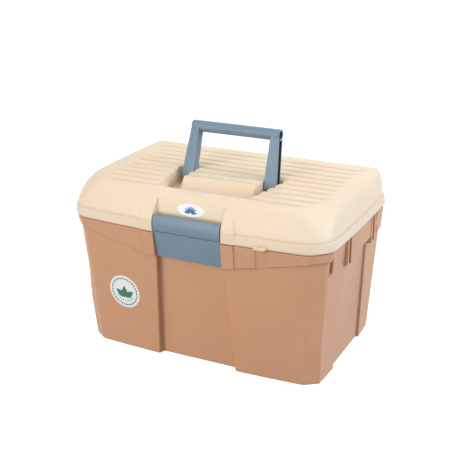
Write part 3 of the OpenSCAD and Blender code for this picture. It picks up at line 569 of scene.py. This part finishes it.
def lid_skin(shape, sizes, heights, g, top, bottom):
    """One skin of the lid, moved in by g: its rows of outlines from the rim up, then its top as a grid inside the
    last outline. Returns the first outline."""
    heights = np.array(heights)
    count = len(FRONT_U) + END_N
    outside = g == 0

    def front_x(row, end):
        lean = frame_lean(heights[row[:, 0]])[:, None] * outside
        places = np.array(FRONT_U) - lean * np.interp(FRONT_U, [BLOCK_END, 69, 73, 82], [0, 1, 1, 0])
        return np.concatenate([places] + spaced(LAST_U, end, END_N), 1)

    def side_y(row, start, stop):
        return mix(start, stop, SIDE_SHARE[None])

    def back_x(row, start):
        return front_x(row, start)[:, ::-1]

    x, y = half_ring(from_table(sizes), np.arange(len(sizes))[:, None], front_x, side_y, back_x,
                     LID_SOFT if outside else SOFT)
    z = np.broadcast_to(heights[:, None], x.shape)
    front = np.arange(x.shape[1]) < count
    if outside:
        proud = step(NOTCH_HALF + FRAME_W - frame_lean(z) - x, 0.9)
        y = np.where(front, mix(y, np.minimum(y, frame_y(x, z)), proud), y)
        share = np.interp(x - NOTCH_HALF, *np.array(NOTCH_LINE).T)
    else:
        share = step(x - NOTCH_HALF - g, 2.4)
    # The notch's wall runs out into the dome in a soft bend
    wall = notch_y(z) + g
    deep = (y + wall + np.sqrt((y - wall) ** 2 + NOTCH_BEND)) / 2
    y = np.where(front, mix(deep, y, share), y)
    drop = np.clip(1 - (LID_TOP - z) / RIB_DEEP, 0, 1) * outside
    rows = whole(x, y, z)
    shape.tube(rows, np.concatenate([drop, drop[:, -2:0:-1]], 1))
    # The top, column by column from the middle to the side
    m = count + CORNER_N
    fx, fy = x[-1, :m], y[-1, :m]
    rx, ry = x[-1, ::-1][:m], y[-1, ::-1][:m]
    pivot = mix(RECESS_FRONT - 1.7, SIDE_PIVOT, smooth(90, 135, fx))
    pivot[count:] = SIDE_PIVOT
    v = ROW_V[:, None]
    gy = bent_rows(v, fy, ry, pivot)
    gx = mix(fx, rx, (v - ROW_V[0]) / (ROW_V[-1] - ROW_V[0]))
    # The columns beside the recess follow its slanting sides
    edge = slot_edge(gy)
    start = BLOCK_END + LINE_IN
    near = np.where(gx < SLOT_BACK - LINE_IN, BLOCK_END + (gx - BLOCK_END) * (edge - start) / (SLOT_BACK - start),
                    edge + gx - SLOT_BACK)
    stop = SLOT_BACK + LINE_OUT
    far = edge + LINE_OUT + (gx - stop) * (LAST_U - edge - LINE_OUT) / (LAST_U - stop)
    gx = np.where((gx > BLOCK_END) & (gx < LAST_U), np.where(gx < stop, near, far), gx)
    gx[0], gy[0], gx[-1], gy[-1] = fx, fy, rx, ry
    side = slice(m - 1, m - 1 + len(ROW_V))
    gx[:, -1], gy[:, -1] = x[-1, side], y[-1, side]
    share = recess_share(gx, gy, g)
    gz = mix(top, bottom, share)
    gz[0] = gz[-1] = gz[:, -1] = top
    to_corner = (CORNER_LINE - np.abs(gx) + gy) / math.sqrt(2)
    rib = (1 - share) * outside * smooth(4, 12, to_corner)
    grid = np.stack([gx, gy, gz], 2)
    grid = np.concatenate([(grid * [-1, 1, 1])[:, :0:-1], grid], 1)
    rib = np.concatenate([rib[:, :0:-1], rib], 1)
    rn, cn = grid.shape[:2]
    faces = [(i, i + 1, i + cn + 1, i + cn) for r in range(rn - 1) for i in range(r * cn, r * cn + cn - 1)]
    shape.add(grid.reshape(-1, 3), faces, rib.ravel())
    return rows[0]


DOME_ROWS, UNDER_ROWS = 18, 12
SOLID_RIB_DEEP = 2.8
UNDER_TOP = LID_TOP - SOLID_RIB_DEEP - WALL
LUG_HALF, LUG_TIP, LUG_OUT, LUG_H, EYE_OUT = 10.5, 7.5, 6.3, 4.0, 3.25
KNUCKLE = [(132.5, 199.3), (135.5, 199.3), (136.7, 196.5), (139.5, 195.3), (142.3, 196.5), (143.5, 199.3),
           (142.3, 202.1), (141.9, 202.5), (132.5, 209.3)]
KNUCKLE_HALF = 10.0


def make_lid(material):
    shape = Shape()
    turn = np.linspace(0, math.pi / 2, 5)
    sizes, heights = [], []

    def row(size, z):
        sizes.append(size)
        heights.append(z)

    def dome(count, g, top):
        for i in range(1, count + 1):
            t = math.sin(math.pi / 2 * i / count)
            row(dome_size(t, g), LEDGE_Z + (top - LEDGE_Z) * t)

    rim_top = LID_Z + RIM_H
    for a in turn:
        row(rim_size(RIM_FOOT * (1 - math.sin(a))), LID_Z + RIM_FOOT * (1 - math.cos(a)))
    for z in (203.0, 206.0, 209.0, rim_top - RIM_EDGE):
        row(rim_size(RIM_DRAFT * (z - LID_Z - RIM_FOOT) / (RIM_H - RIM_FOOT - RIM_EDGE)), z)
    for a in turn[1:]:
        row(rim_size(RIM_DRAFT + RIM_EDGE * (1 - math.cos(a))), rim_top - RIM_EDGE + RIM_EDGE * math.sin(a))
    # The ledge, up to where the dome rises from it
    for inset, rise in ((2.5, 0.05), (3.1, 0.1), (3.5, 0.15), (3.6, 0.3), (3.6, 1.3), (3.5, 1.7)):
        row(rim_size(inset, 1.0), rim_top + rise)
    dome(DOME_ROWS, 0, LID_TOP)
    outer = lid_skin(shape, sizes, heights, 0, LID_TOP, RECESS_Z)
    sizes, heights = [], []
    # The inside, from the seat on the tub's tongue up
    seat = tuple(float(v) for v in tub_size(np.array(SEAT_Z), -0.5))
    for z in (LID_Z, LID_Z + 0.6, SEAT_Z - 0.6, SEAT_Z):
        row(seat, z)
    for z in (SEAT_Z, SEAT_Z + 0.6, LEDGE_Z - 1):
        row(dome_size(0, WALL * 1.1), z)
    dome(UNDER_ROWS, WALL * 1.1, UNDER_TOP)
    inner = lid_skin(shape, sizes, heights, WALL, UNDER_TOP, RECESS_Z - WALL)
    shape.tube(np.stack([outer, inner]))
    # The padlock lug, a plate with a hole
    base = rim_front(EYE_X)
    plate = rounded([(EYE_X - LUG_HALF, base + WALL), (EYE_X - LUG_TIP, base - LUG_OUT),
                     (EYE_X + LUG_TIP, base - LUG_OUT), (EYE_X + LUG_HALF, base + WALL)], [0.5, 3.5, 3.5, 0.5], 6)
    middle = np.array([EYE_X, base - EYE_OUT])
    way = (plate - middle) / np.linalg.norm(plate - middle, axis=1)[:, None]
    loops = [(plate - way * inset, rise) for inset, rise in ((0.5, 0), (0, 0.5), (0, LUG_H - 0.5), (0.5, LUG_H))]
    loops += [(middle + way * (EYE_R + grow), rise)
              for grow, rise in ((0.4, LUG_H), (0, LUG_H - 0.4), (0, 0.4), (0.4, 0))]
    shape.ring([np.c_[flat, np.full(len(plate), LID_Z + rise)] for flat, rise in loops])
    for x in (-HINGE_X, HINGE_X):
        prism(shape, KNUCKLE, x - KNUCKLE_HALF, x + KNUCKLE_HALF, 0.8)
    return shape.build("lid_plain", material)


# Handle, latch, tray, pins and labels

def make_handle(material):
    """The bail: two arms that are channels open to the outside, and a hollow grip, drawn upright from its pivot."""
    shape = Shape()
    inner_x, reach, taper, draft, foot_r = 56.0, 19.5, 6.5, 2.5, 8.0
    web, thick = 2.4, 1.4
    grip_half, grip_r, bore_r, edge_r, root_r = 69.0, 8.2, 5.8, 0.9, 7.2

    def section(h, hollow):
        """An arm's outline at a height, from a full block to a channel."""
        down = max(0.0, -h)
        x1 = inner_x + min(reach - taper * max(h, 0) / HANDLE_L, (foot_r - down) * 7.8)
        d0 = math.sqrt(max(0.05, foot_r ** 2 - down * down))
        d1 = max(0.15, d0 - draft * (x1 - inner_x) / reach * (foot_r / max(d0, 1)) ** 0.5)
        floor = mix(x1 - 0.06, inner_x + web, hollow)
        e1 = max(d1 - thick, 0.05)
        e0 = max(min(d0 - thick, d1 - thick + draft * hollow), 0.05)
        loop = [(inner_x, -d0), (x1, -d1), (x1, -e1), (floor, -e0), (floor, e0), (x1, e1), (x1, d1), (inner_x, d0)]
        return rounded(loop, [1.6, 0.6, 0.5, 0.9, 0.9, 0.5, 0.6, 1.6])

    loops = []
    for h in (-7.95, -7.6, -7.0, -6.2, -5.7, -5.5, -5.0, -4.0, -2.5, 0, 6, 15, 25, 35, 45, 55, 63.6, 64.4, 64.7, 66):
        plan = section(h, float(smooth(-5.75, -5.45, h) * smooth(64.6, 64.3, h)))
        loops.append(np.c_[plan, np.full(len(plan), h)])
    last = section(HANDLE_L, 0.0)
    loops.append(np.c_[last, HANDLE_L - np.sqrt(np.maximum(0, root_r ** 2 - last[:, 1] ** 2))])
    for side in (1, -1):
        shape.solid(np.array(loops) * [side, 1, 1])
    right = [(inner_x, grip_r)]
    right += [(grip_half - edge_r + edge_r * math.sin(a), grip_r - edge_r + edge_r * math.cos(a))
              for a in np.linspace(0, math.pi / 2, 5)]
    right += [(grip_half, bore_r + 0.5), (grip_half - 0.25, bore_r + 0.15), (grip_half - 0.7, bore_r)]
    profile = [(-60, grip_r), (-20, grip_r), (20, grip_r)] + right + [(20, bore_r), (-20, bore_r)]
    lathe(shape, profile + [(-x, r) for x, r in right[:0:-1]], (0, HANDLE_L))
    lean = math.radians(HANDLE_LEAN)
    turn = [[1, 0, 0], [0, math.cos(lean), -math.sin(lean)], [0, math.sin(lean), math.cos(lean)]]
    shape.points = [tuple(p) for p in np.array(shape.points) @ np.array(turn) + [0, PIVOT_Y, PIVOT_Z]]
    return shape.build("handle_bail", material)


def make_latch(material):
    """The latch: a bulge round its pin, a flat plate below a crease, a lip at its foot, and three eyes on the pin."""
    shape = Shape()
    centre, bulge_r, thick, half = np.array([-110.9, 208.66]), 23.0, 2.4, 50.2
    eye_r, bore_r = 3.9, 1.75
    crease, top = (math.asin((z - centre[1]) / bulge_r) for z in (200, 222.7))

    def arc(r, a, b, n=16):
        return [centre + r * np.array([-math.cos(t), math.sin(t)]) for t in np.linspace(a, b, n + 1)]

    outer = arc(bulge_r, top, crease)
    plate = [outer[-1] + d for d in ([1.7, -0.2], [1.7, -1.5], [0.85, -1.9])]
    lip = [(-124.9, 162.2), (-124.1, 160.0), (-120.1, 160.6), (-120.1, 163.4), (-123.0, 165.0)]
    profile = outer + plate + lip + arc(bulge_r - thick, crease, top)
    prism(shape, [tuple(p) for p in profile], -half, half, 0.55)
    for x in (-half, -thick / 2, half - thick):
        lathe(shape, [(x, eye_r), (x + thick, eye_r), (x + thick, bore_r), (x, bore_r)], (LATCH_PIN_Y, LATCH_PIN_Z))
    return shape.build("latch_plate", material)


def make_pins(name, spans, radius, centre, material):
    """Steel pins with chamfered ends."""
    shape = Shape()
    tip, bevel = 0.02, 0.4
    for x0, x1 in spans:
        profile = [(x0, tip), (x0, radius - bevel), (x0 + bevel, radius), (x1 - bevel, radius), (x1, radius - bevel),
                   (x1, tip)]
        lathe(shape, profile, centre, 32)
    return shape.build(name, material, 30)


def make_tray(material):
    """The lift-out tray: an open box whose flange rests on the tub's ledges, with two dividers."""
    shape = Shape()
    low, rest, top, bend = 118.6, 166.6, 168.6, 3
    hw, hd = TUB_HALF - DRAFT_SIDE * (1 - rest / TUB_H) - WALL - 1.6, 113.1
    turn = np.linspace(0, math.pi / 2, 4)
    rows = [(8 + bend * (1 - math.sin(a)), low + bend * (1 - math.cos(a))) for a in turn]
    rows += [(5, rest - 0.5), (4.6, rest), (0.5, rest), (0, rest + 0.5), (0, top - 0.5), (0.5, top), (6.4, top),
             (7, top - 0.6)]
    rows += [(10 + bend * (1 - math.cos(a)), low + 2 + bend * (1 - math.sin(a))) for a in turn]
    sizes = [(hw - g, hd - g, hd - g, 32 - CUT_SHARE * g, 21 - CUT_SHARE * g, 1.0, SIDE_BOW, 0.0) for g, _ in rows]
    even = np.linspace(0, 1, 9)
    x, y = half_ring(from_table(sizes), np.arange(len(rows))[:, None], lambda r, end: end * even[None],
                     lambda r, a, b: mix(a, b, even[None]), lambda r, start: start * even[None, ::-1])
    z = np.broadcast_to(np.array([z for _, z in rows])[:, None], x.shape)
    shape.solid(whole(x, y, z))
    for x in (-60, 60):
        prism(shape, [(-105, low + 1.5), (105, low + 1.5), (105, 165.5), (-105, 165.5)], x - 1, x + 1, 0.5)
    return shape.build("insert_tray_shell", material)


def tub_front(x, z):
    """The place of the tub's front panel."""
    hw, hf, _, cut, _, bow, bow_s = tub_size(z, 0)[:7]
    return -hf + bow * (x / (hw - bow_s - cut)) ** 2


ROUND_X, ROUND_Z, ROUND_R = -111.3, 91.0, 25.5
OVAL_Z, OVAL_W, OVAL_H = LID_Z + 32, 20.5, 8.5
NOTCH_LEAN = math.atan(NOTCH_SLOPE)
FILM_LOW, FILM_HIGH, PRINT_LOW, PRINT_HIGH = 0.05, 0.35, 0.37, 0.45


def on_tub(p, q, out):
    """A point of the round label's face, p across and q up from its middle."""
    x, z = ROUND_X + p, ROUND_Z + q
    return np.stack([x, tub_front(x, z) - out, z], -1)


def on_notch(p, q, out):
    """A point of the oval label's face, p across and q up from its middle."""
    z = OVAL_Z + q * math.cos(NOTCH_LEAN)
    return np.stack([p, notch_y(z) - out, z], -1)


def film(shape, place, outline, low, high, rings):
    """A thin film on a face: an outline filled in towards its middle, between two heights above the face."""
    outline = np.asarray(outline)
    middle = outline.mean(0)
    share = np.linspace(0.02, 1, rings)
    loops = []
    for out, order in ((high, share), (low, share[::-1])):
        for s in order:
            flat = middle + (outline - middle) * s
            loops.append(place(flat[:, 0], flat[:, 1], np.full(len(flat), out)))
    shape.solid(loops)


def ellipse(w, h, n=96):
    a = np.linspace(0, 2 * math.pi, n, endpoint=False)
    return np.stack([w * np.cos(a), h * np.sin(a)], 1)


def leaf(base, tip, belly, n=12):
    """A leaf's outline from its base to its tip."""
    base, tip = np.array(base, float), np.array(tip, float)
    way = tip - base
    across = np.array([-way[1], way[0]]) / np.linalg.norm(way)
    t = np.linspace(0, 1, n + 1)
    bulge = belly * np.sin(math.pi * t ** 0.8)[:, None] * across
    spine = base + t[:, None] * way
    return np.concatenate([spine + bulge, (spine - bulge)[-2:0:-1]])


# Materials

def linear(code):
    """A colour written as sRGB hex, in linear light."""
    values = [part / 255 for part in bytes.fromhex(code[1:])]
    return tuple(v / 12.92 if v <= 0.04045 else ((v + 0.055) / 1.055) ** 2.4 for v in values) + (1.0,)


def fill(tree, node, inputs):
    """Gives inputs of a node fixed values, or links them to other sockets."""
    for key, value in inputs.items():
        if isinstance(value, bpy.types.NodeSocket):
            tree.links.new(value, node.inputs[key])
        else:
            node.inputs[key].default_value = value


def add(tree, kind, inputs=None, **settings):
    """A new node of a tree, with its settings and inputs."""
    node = tree.nodes.new(kind)
    for key, value in settings.items():
        setattr(node, key, value)
    fill(tree, node, inputs or {})
    return node


def math_node(tree, operation, *values):
    """The result of one operation on numbers or sockets."""
    return add(tree, "ShaderNodeMath", dict(enumerate(values)), operation=operation).outputs[0]


def noise(tree, scale, detail=2.0, where=None):
    """Noise over the object's own coordinates, or over those given."""
    where = where or add(tree, "ShaderNodeTexCoord").outputs["Object"]
    return add(tree, "ShaderNodeTexNoise", {"Vector": where, "Scale": scale, "Detail": detail}).outputs["Fac"]


def ranged(tree, value, low, high, to_low, to_high):
    """A value moved from one range to another."""
    return add(tree, "ShaderNodeMapRange", {"Value": value, "From Min": low, "From Max": high, "To Min": to_low,
                                            "To Max": to_high}).outputs["Result"]


def blend(tree, share, a, b):
    """A mix of two colours, each a hex code or a socket."""
    a, b = (linear(c) if isinstance(c, str) else c for c in (a, b))
    return add(tree, "ShaderNodeMix", {"Factor": share, "A": a, "B": b}, data_type="RGBA").outputs["Result"]


def new_material(name):
    material = bpy.data.materials.new(name)
    material.use_nodes = True
    tree = material.node_tree
    return material, tree, tree.nodes["Principled BSDF"]


def moulded(name, colour, deep, crease_shade, reach_mm, roughness, grain_mm, grain_um):
    """Injection-moulded polypropylene: an even, slightly waxy colour that drifts a little over the flow of the melt,
    with the fine spark-eroded grain of the mould, which softens the highlights."""
    material, tree, shader = new_material(name)
    flow = noise(tree, 1 / 0.09, 3.0)
    hue = blend(tree, ranged(tree, flow, 0.35, 0.65, 0, 1), colour, deep)
    # Painted shade: grooves and bores up to about reach_mm wide are darkened towards the shade colour the more closed
    # in they are, standing in for the shade that falls in them
    open_air = add(tree, "ShaderNodeAmbientOcclusion", {"Distance": reach_mm * MM}, samples=8, only_local=True)
    # The real grain is about a third of this size, too fine to show in the picture
    grain = noise(tree, 1 / (grain_mm * MM))
    bump = add(tree, "ShaderNodeBump", {"Height": grain, "Strength": 0.5, "Distance": grain_um * 1e-6})
    fill(tree, shader, {"Base Color": blend(tree, open_air.outputs["AO"], crease_shade, hue), "IOR": 1.49,
                        "Roughness": ranged(tree, flow, 0.3, 0.7, roughness - 0.04, roughness + 0.05),
                        "Normal": bump.outputs["Normal"]})
    return material


def drawn_steel():
    """Drawn steel wire: grey, with fine lengthwise draw lines that stretch its highlights."""
    material, tree, shader = new_material("drawn_steel_wire")
    where = add(tree, "ShaderNodeTexCoord").outputs["Object"]
    lines = add(tree, "ShaderNodeMapping", {"Vector": where, "Scale": (20.0, 2500.0, 2500.0)})
    draw = noise(tree, 1.0, where=lines.outputs["Vector"])
    fill(tree, shader, {"Base Color": blend(tree, draw, "#A9ACB0", "#C6C8CB"), "Metallic": 1.0,
                        "Roughness": ranged(tree, draw, 0, 1, 0.25, 0.4)})
    return material


def printed(name, colour, deep, roughness):
    """Printed vinyl film: an even ink or white coat with a faint unevenness and a low gloss."""
    material, tree, shader = new_material(name)
    coat = noise(tree, 1 / 0.004)
    fill(tree, shader, {"Base Color": blend(tree, coat, colour, deep), "IOR": 1.52,
                        "Roughness": ranged(tree, coat, 0, 1, roughness - 0.05, roughness + 0.05)})
    return material


# The fourth colour of each is painted shade, laid into its creases, grooves and bores
tan = moulded("moulded_polypropylene_tan", "#D29F7A", "#CF9B76", "#7A523A", 8, 0.5, 1.5, 14)
cream = moulded("moulded_polypropylene_cream", "#F0DCC0", "#EED9BC", "#C8A77C", 8, 0.48, 1.5, 12)
blue = moulded("moulded_polypropylene_blue", "#788FA0", "#748B9C", "#16222F", 22, 0.45, 1.2, 10)
steel = drawn_steel()
white_film = printed("white_vinyl_film", "#F6F8F5", "#F1F4F1", 0.4)
green_ink = printed("green_screen_ink", "#2F7350", "#347353", 0.45)
blue_ink = printed("blue_screen_ink", "#2F6FA8", "#346FA4", 0.45)


# Geometry Nodes

def group(name, floats, wholes=()):
    """A new geometry tree with named inputs, its inputs' sockets, and a function that ends it with the plain mesh in
    the material that was given."""
    tree = bpy.data.node_groups.new(name, "GeometryNodeTree")
    tree.interface.new_socket("Geometry", in_out="OUTPUT", socket_type="NodeSocketGeometry")
    for kind, labels in (("Geometry", ["Geometry"]), ("Float", floats), ("Int", wholes), ("Material", ["Material"])):
        for label in labels:
            tree.interface.new_socket(label, in_out="INPUT", socket_type="NodeSocket" + kind)
    value = add(tree, "NodeGroupInput").outputs

    def end(geometry):
        real = add(tree, "GeometryNodeRealizeInstances", {"Geometry": geometry}).outputs[0]
        painted = add(tree, "GeometryNodeSetMaterial", {"Geometry": real, "Material": value["Material"]}).outputs[0]
        add(tree, "NodeGroupOutput", {"Geometry": painted})
        return tree

    return tree, value, end


def rib_tree():
    """Sinks the narrow valleys in which the lid's rounded ribs meet, and lets them fade out at their ends."""
    tree, value, end = group("lid_ribs", ["Pitch", "Depth", "First crest", "Ribs", "Half length", "Run-out"])

    def calc(*terms):
        return math_node(tree, *terms)

    place = add(tree, "ShaderNodeSeparateXYZ", {"Vector": add(tree, "GeometryNodeInputPosition").outputs[0]}).outputs
    turns = calc("DIVIDE", calc("SUBTRACT", place["Y"], value["First crest"]), value["Pitch"])
    phase = calc("FRACT", calc("ADD", turns, 0.5))
    curve = calc("POWER", calc("ABSOLUTE", calc("MULTIPLY_ADD", phase, 2.0, -1.0)), 4.0)
    running = calc("MULTIPLY", calc("GREATER_THAN", turns, 0.0), calc("LESS_THAN", turns, value["Ribs"]))
    rest = calc("SUBTRACT", value["Half length"], calc("ABSOLUTE", place["X"]))
    fade = add(tree, "ShaderNodeClamp", {"Value": calc("DIVIDE", rest, value["Run-out"])}).outputs[0]
    depth = calc("MULTIPLY", calc("MINIMUM", curve, fade), calc("MULTIPLY", running, value["Depth"]))
    share = add(tree, "GeometryNodeInputNamedAttribute", {"Name": "rib_share"}, data_type="FLOAT")
    sunk = calc("MULTIPLY", calc("MULTIPLY", depth, share.outputs["Attribute"]), -1.0)
    offset = add(tree, "ShaderNodeCombineXYZ", {"Z": sunk}).outputs[0]
    return end(add(tree, "GeometryNodeSetPosition", {"Geometry": value["Geometry"], "Offset": offset}).outputs[0])


def grown(base, tree, values, name):
    """The plain mesh that a geometry tree makes from an object, as a new object; the old one goes."""
    modifier = base.modifiers.new(tree.name, "NODES")
    modifier.node_group = tree
    for socket in tree.interface.items_tree:
        if socket.in_out == "INPUT" and socket.name in values:
            modifier[socket.identifier] = values[socket.name]
    ready = base.evaluated_get(bpy.context.evaluated_depsgraph_get())
    mesh = bpy.data.meshes.new_from_object(ready)
    mesh.name = name
    obj = put(name, mesh)
    bpy.data.objects.remove(base)
    return obj


def ring_tree():
    """Repeats a flat print round a ring, each one turned to point away from the middle."""
    tree, value, end = group("ring_of_prints", ["Radius", "First angle", "Step angle", "Lean"], ["Count"])
    index = add(tree, "GeometryNodeInputIndex").outputs[0]
    angle = math_node(tree, "MULTIPLY_ADD", index, value["Step angle"], value["First angle"])
    place = add(tree, "ShaderNodeCombineXYZ",
                {axis: math_node(tree, "MULTIPLY", math_node(tree, wave, angle), value["Radius"])
                 for axis, wave in (("X", "COSINE"), ("Y", "SINE"))})
    points = add(tree, "GeometryNodePoints", {"Count": value["Count"], "Position": place.outputs[0]})
    turn = add(tree, "ShaderNodeCombineXYZ", {"Z": math_node(tree, "ADD", angle, value["Lean"])})
    return end(add(tree, "GeometryNodeInstanceOnPoints", {"Points": points.outputs[0], "Instance": value["Geometry"],
                                                          "Rotation": turn.outputs[0]}).outputs[0])


def flat(p, q, out):
    """A point of a print that is not yet on its label."""
    return np.stack([p, q, out], -1)


def print_ring(name, outline, ink, place, middle, count, radius, first, each, lean=0.0):
    """Prints repeated round a ring and laid on a label's face; angles in degrees."""
    shape = Shape()
    film(shape, flat, outline, PRINT_LOW, PRINT_HIGH, 3)
    values = {"Count": count, "Radius": radius * MM, "First angle": math.radians(first),
              "Step angle": math.radians(each), "Lean": math.radians(lean), "Material": ink}
    obj = grown(shape.build(name + "_one", ink), PRINTS, values, name)
    for v in obj.data.vertices:
        p, q, out = (c / MM for c in v.co)
        v.co = place(p + middle[0], q + middle[1], out) * MM
    return obj


PRINTS = ring_tree()


# Pieces

def finish_piece(obj, body, slot, *nodes):
    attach(obj, body)
    if nodes:
        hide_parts(*nodes)


finish_piece(make_tub(tan), "tub_body", "tan_shell", "tub")
lid_values = {"Pitch": RIB_PITCH * MM, "Depth": RIB_DEEP * MM, "First crest": RIB_FIRST * MM, "Ribs": float(RIB_N),
              "Half length": RIB_HALF * MM, "Run-out": RIB_RUN * MM, "Material": cream}
finish_piece(grown(make_lid(cream), rib_tree(), lid_values, "lid_shell"), "lid_body", "cream_shell", "lid")
finish_piece(make_handle(blue), "handle_body", "blue_fittings", "handle")
finish_piece(make_latch(blue), "latch_body", "blue_fittings", "latch")
HINGE_PIN_HALF, HINGE_PIN_R, LATCH_PIN_HALF, LATCH_PIN_R = 25.4, 2.0, 53.2, 1.5
hinge_pins = make_pins("hinge_pin_pair", [(x - HINGE_PIN_HALF, x + HINGE_PIN_HALF) for x in (-HINGE_X, HINGE_X)],
                       HINGE_PIN_R, (HINGE_Y, HINGE_Z), steel)
finish_piece(hinge_pins, "tub_body", "pin_steel", "hinge_pins")
latch_pin = make_pins("latch_pin_rod", [(-LATCH_PIN_HALF, LATCH_PIN_HALF)], LATCH_PIN_R, (LATCH_PIN_Y, LATCH_PIN_Z),
                      steel)
finish_piece(latch_pin, "lid_body", "pin_steel", "latch_pin")
finish_piece(make_tray(cream), "tray_body", "cream_shell", "insert_tray")

for node, place, outline, rings, body in (("round_label", on_tub, ellipse(ROUND_R, ROUND_R), 8, "tub_body"),
                                          ("oval_label", on_notch, ellipse(OVAL_W, OVAL_H), 4, "lid_body")):
    label = Shape()
    film(label, place, outline, FILM_LOW, FILM_HIGH, rings)
    finish_piece(label.build(node + "_film", white_film), body, "label_film", node)

# Each print: its outline, the ring's middle on the label, and the ring's count, radius, first angle, step and lean
for name, outline, middle, *ring in (
        ("round_label_wreath", leaf((-2.4, 0), (2.4, 0), 1.0), (0, 0), 30, 21.0, 0, 12, 62),
        ("round_label_sprig", leaf((0, 0), (18.0, 0), 4.6), (0, -9.0), 3, 0.6, 38, 52),
        ("round_label_beads", ellipse(1.0, 1.0, 12), (0, 0), 7, 14.8, -145, 18.3)):
    finish_piece(print_ring(name, outline, green_ink, on_tub, middle, *ring), "tub_body", "label_film")
fan = print_ring("oval_label_fan", leaf((0.8, 0), (10.5, 0), 1.5), blue_ink, on_notch, (0, -4.8), 7, 0.4, 12, 26)
finish_piece(fan, "lid_body", "label_film")


# Stage, light and camera

def looked_at(tree):
    """1 for rays from the camera, also by way of a reflection or a clear piece, and 0 for light on the object."""
    path = add(tree, "ShaderNodeLightPath").outputs
    return math_node(tree, "MAXIMUM", math_node(tree, "MAXIMUM", path["Is Camera Ray"], path["Is Glossy Ray"]),
                     path["Is Transmission Ray"])


def paper():
    """White studio paper: matt, and white to the camera except where the box shades it."""
    material, tree, shader = new_material("white_studio_paper")
    seen = looked_at(tree)
    fibre = blend(tree, noise(tree, 400.0), "#8C8C8C", "#909090")
    fill(tree, shader, {"Base Color": blend(tree, seen, fibre, "#AAAAAA"), "Roughness": 0.9,
                        "Specular IOR Level": 0.1, "Emission Color": (1, 1, 1, 1),
                        "Emission Strength": math_node(tree, "MULTIPLY", seen, 0.9)})
    return material


FLOOR_HALF = 4.0
sheet = bpy.data.meshes.new("studio_floor")
sheet.from_pydata([(x * FLOOR_HALF, y * FLOOR_HALF, 0.0) for x, y in ((-1, -1), (1, -1), (1, 1), (-1, 1))], [],
                  [(0, 1, 2, 3)])
sheet.materials.append(paper())
put("studio_floor", sheet)

world = bpy.data.worlds.new("studio")
bpy.context.scene.world = world
world.use_nodes = True
sky = world.node_tree
fill(sky, sky.nodes["Background"], {"Color": (1, 1, 1, 1),
                                    "Strength": math_node(sky, "MULTIPLY_ADD", looked_at(sky), 0.55, 0.45)})


def softbox(name, place, aim_z, side, power, tint=(1, 1, 1)):
    """A square area light that faces a point above the middle of the floor."""
    lamp = bpy.data.lights.new(name, "AREA")
    lamp.shape = "RECTANGLE"
    lamp.size = lamp.size_y = side
    lamp.energy, lamp.color = power, tint
    obj = put(name, lamp)
    obj.location = place
    obj.rotation_euler = (Vector((0, 0, aim_z)) - Vector(place)).to_track_quat("-Z", "Y").to_euler()


WARM, COOL = (1.03, 1.0, 0.9), (0.89, 1.0, 1.2)
softbox("key_box", (-0.6, -2.1, 0.9), 0.15, 1.6, 29)
softbox("right_box", (2.0, 0.3, 1.1), 0.2, 1.5, 27, COOL)
softbox("top_box", (0.2, 0.5, 2.2), 0.2, 1.6, 8.5, WARM)
softbox("rear_box", (-0.6, 2.2, 1.0), 0.2, 1.6, 6.5, WARM)

# The camera, fitted to the straight edges in the photograph
SENSOR_MM, FOCAL_PX, PICTURE_PX = 36.0, 924.8295, 460
AZIMUTH, ELEVATION, ROLL = (math.radians(v) for v in (26.5469, 20.8995, -0.4972))
AIM, DISTANCE, SHIFT_UP = Vector((-0.000467, -0.0002332, 0.1621637)), 1.3482189, 0.0006
camera = bpy.data.cameras.new("photo_camera")
camera.sensor_width = SENSOR_MM
camera.lens = SENSOR_MM * FOCAL_PX / PICTURE_PX
view = put("photo_camera", camera)
flat_part = math.cos(ELEVATION)
back = Vector((math.sin(AZIMUTH) * flat_part, -math.cos(AZIMUTH) * flat_part, math.sin(ELEVATION)))
level = Vector((math.cos(AZIMUTH), math.sin(AZIMUTH), 0))
upright = back.cross(level)
right = level * math.cos(ROLL) + upright * math.sin(ROLL)
up = upright * math.cos(ROLL) - level * math.sin(ROLL)
eye = AIM + back * DISTANCE + up * SHIFT_UP
view.matrix_world = Matrix([(*turn, at) for *turn, at in zip(right, up, back, eye)] + [(0, 0, 0, 1)])
bpy.context.scene.camera = view
bpy.context.scene.view_settings.view_transform = "Standard"
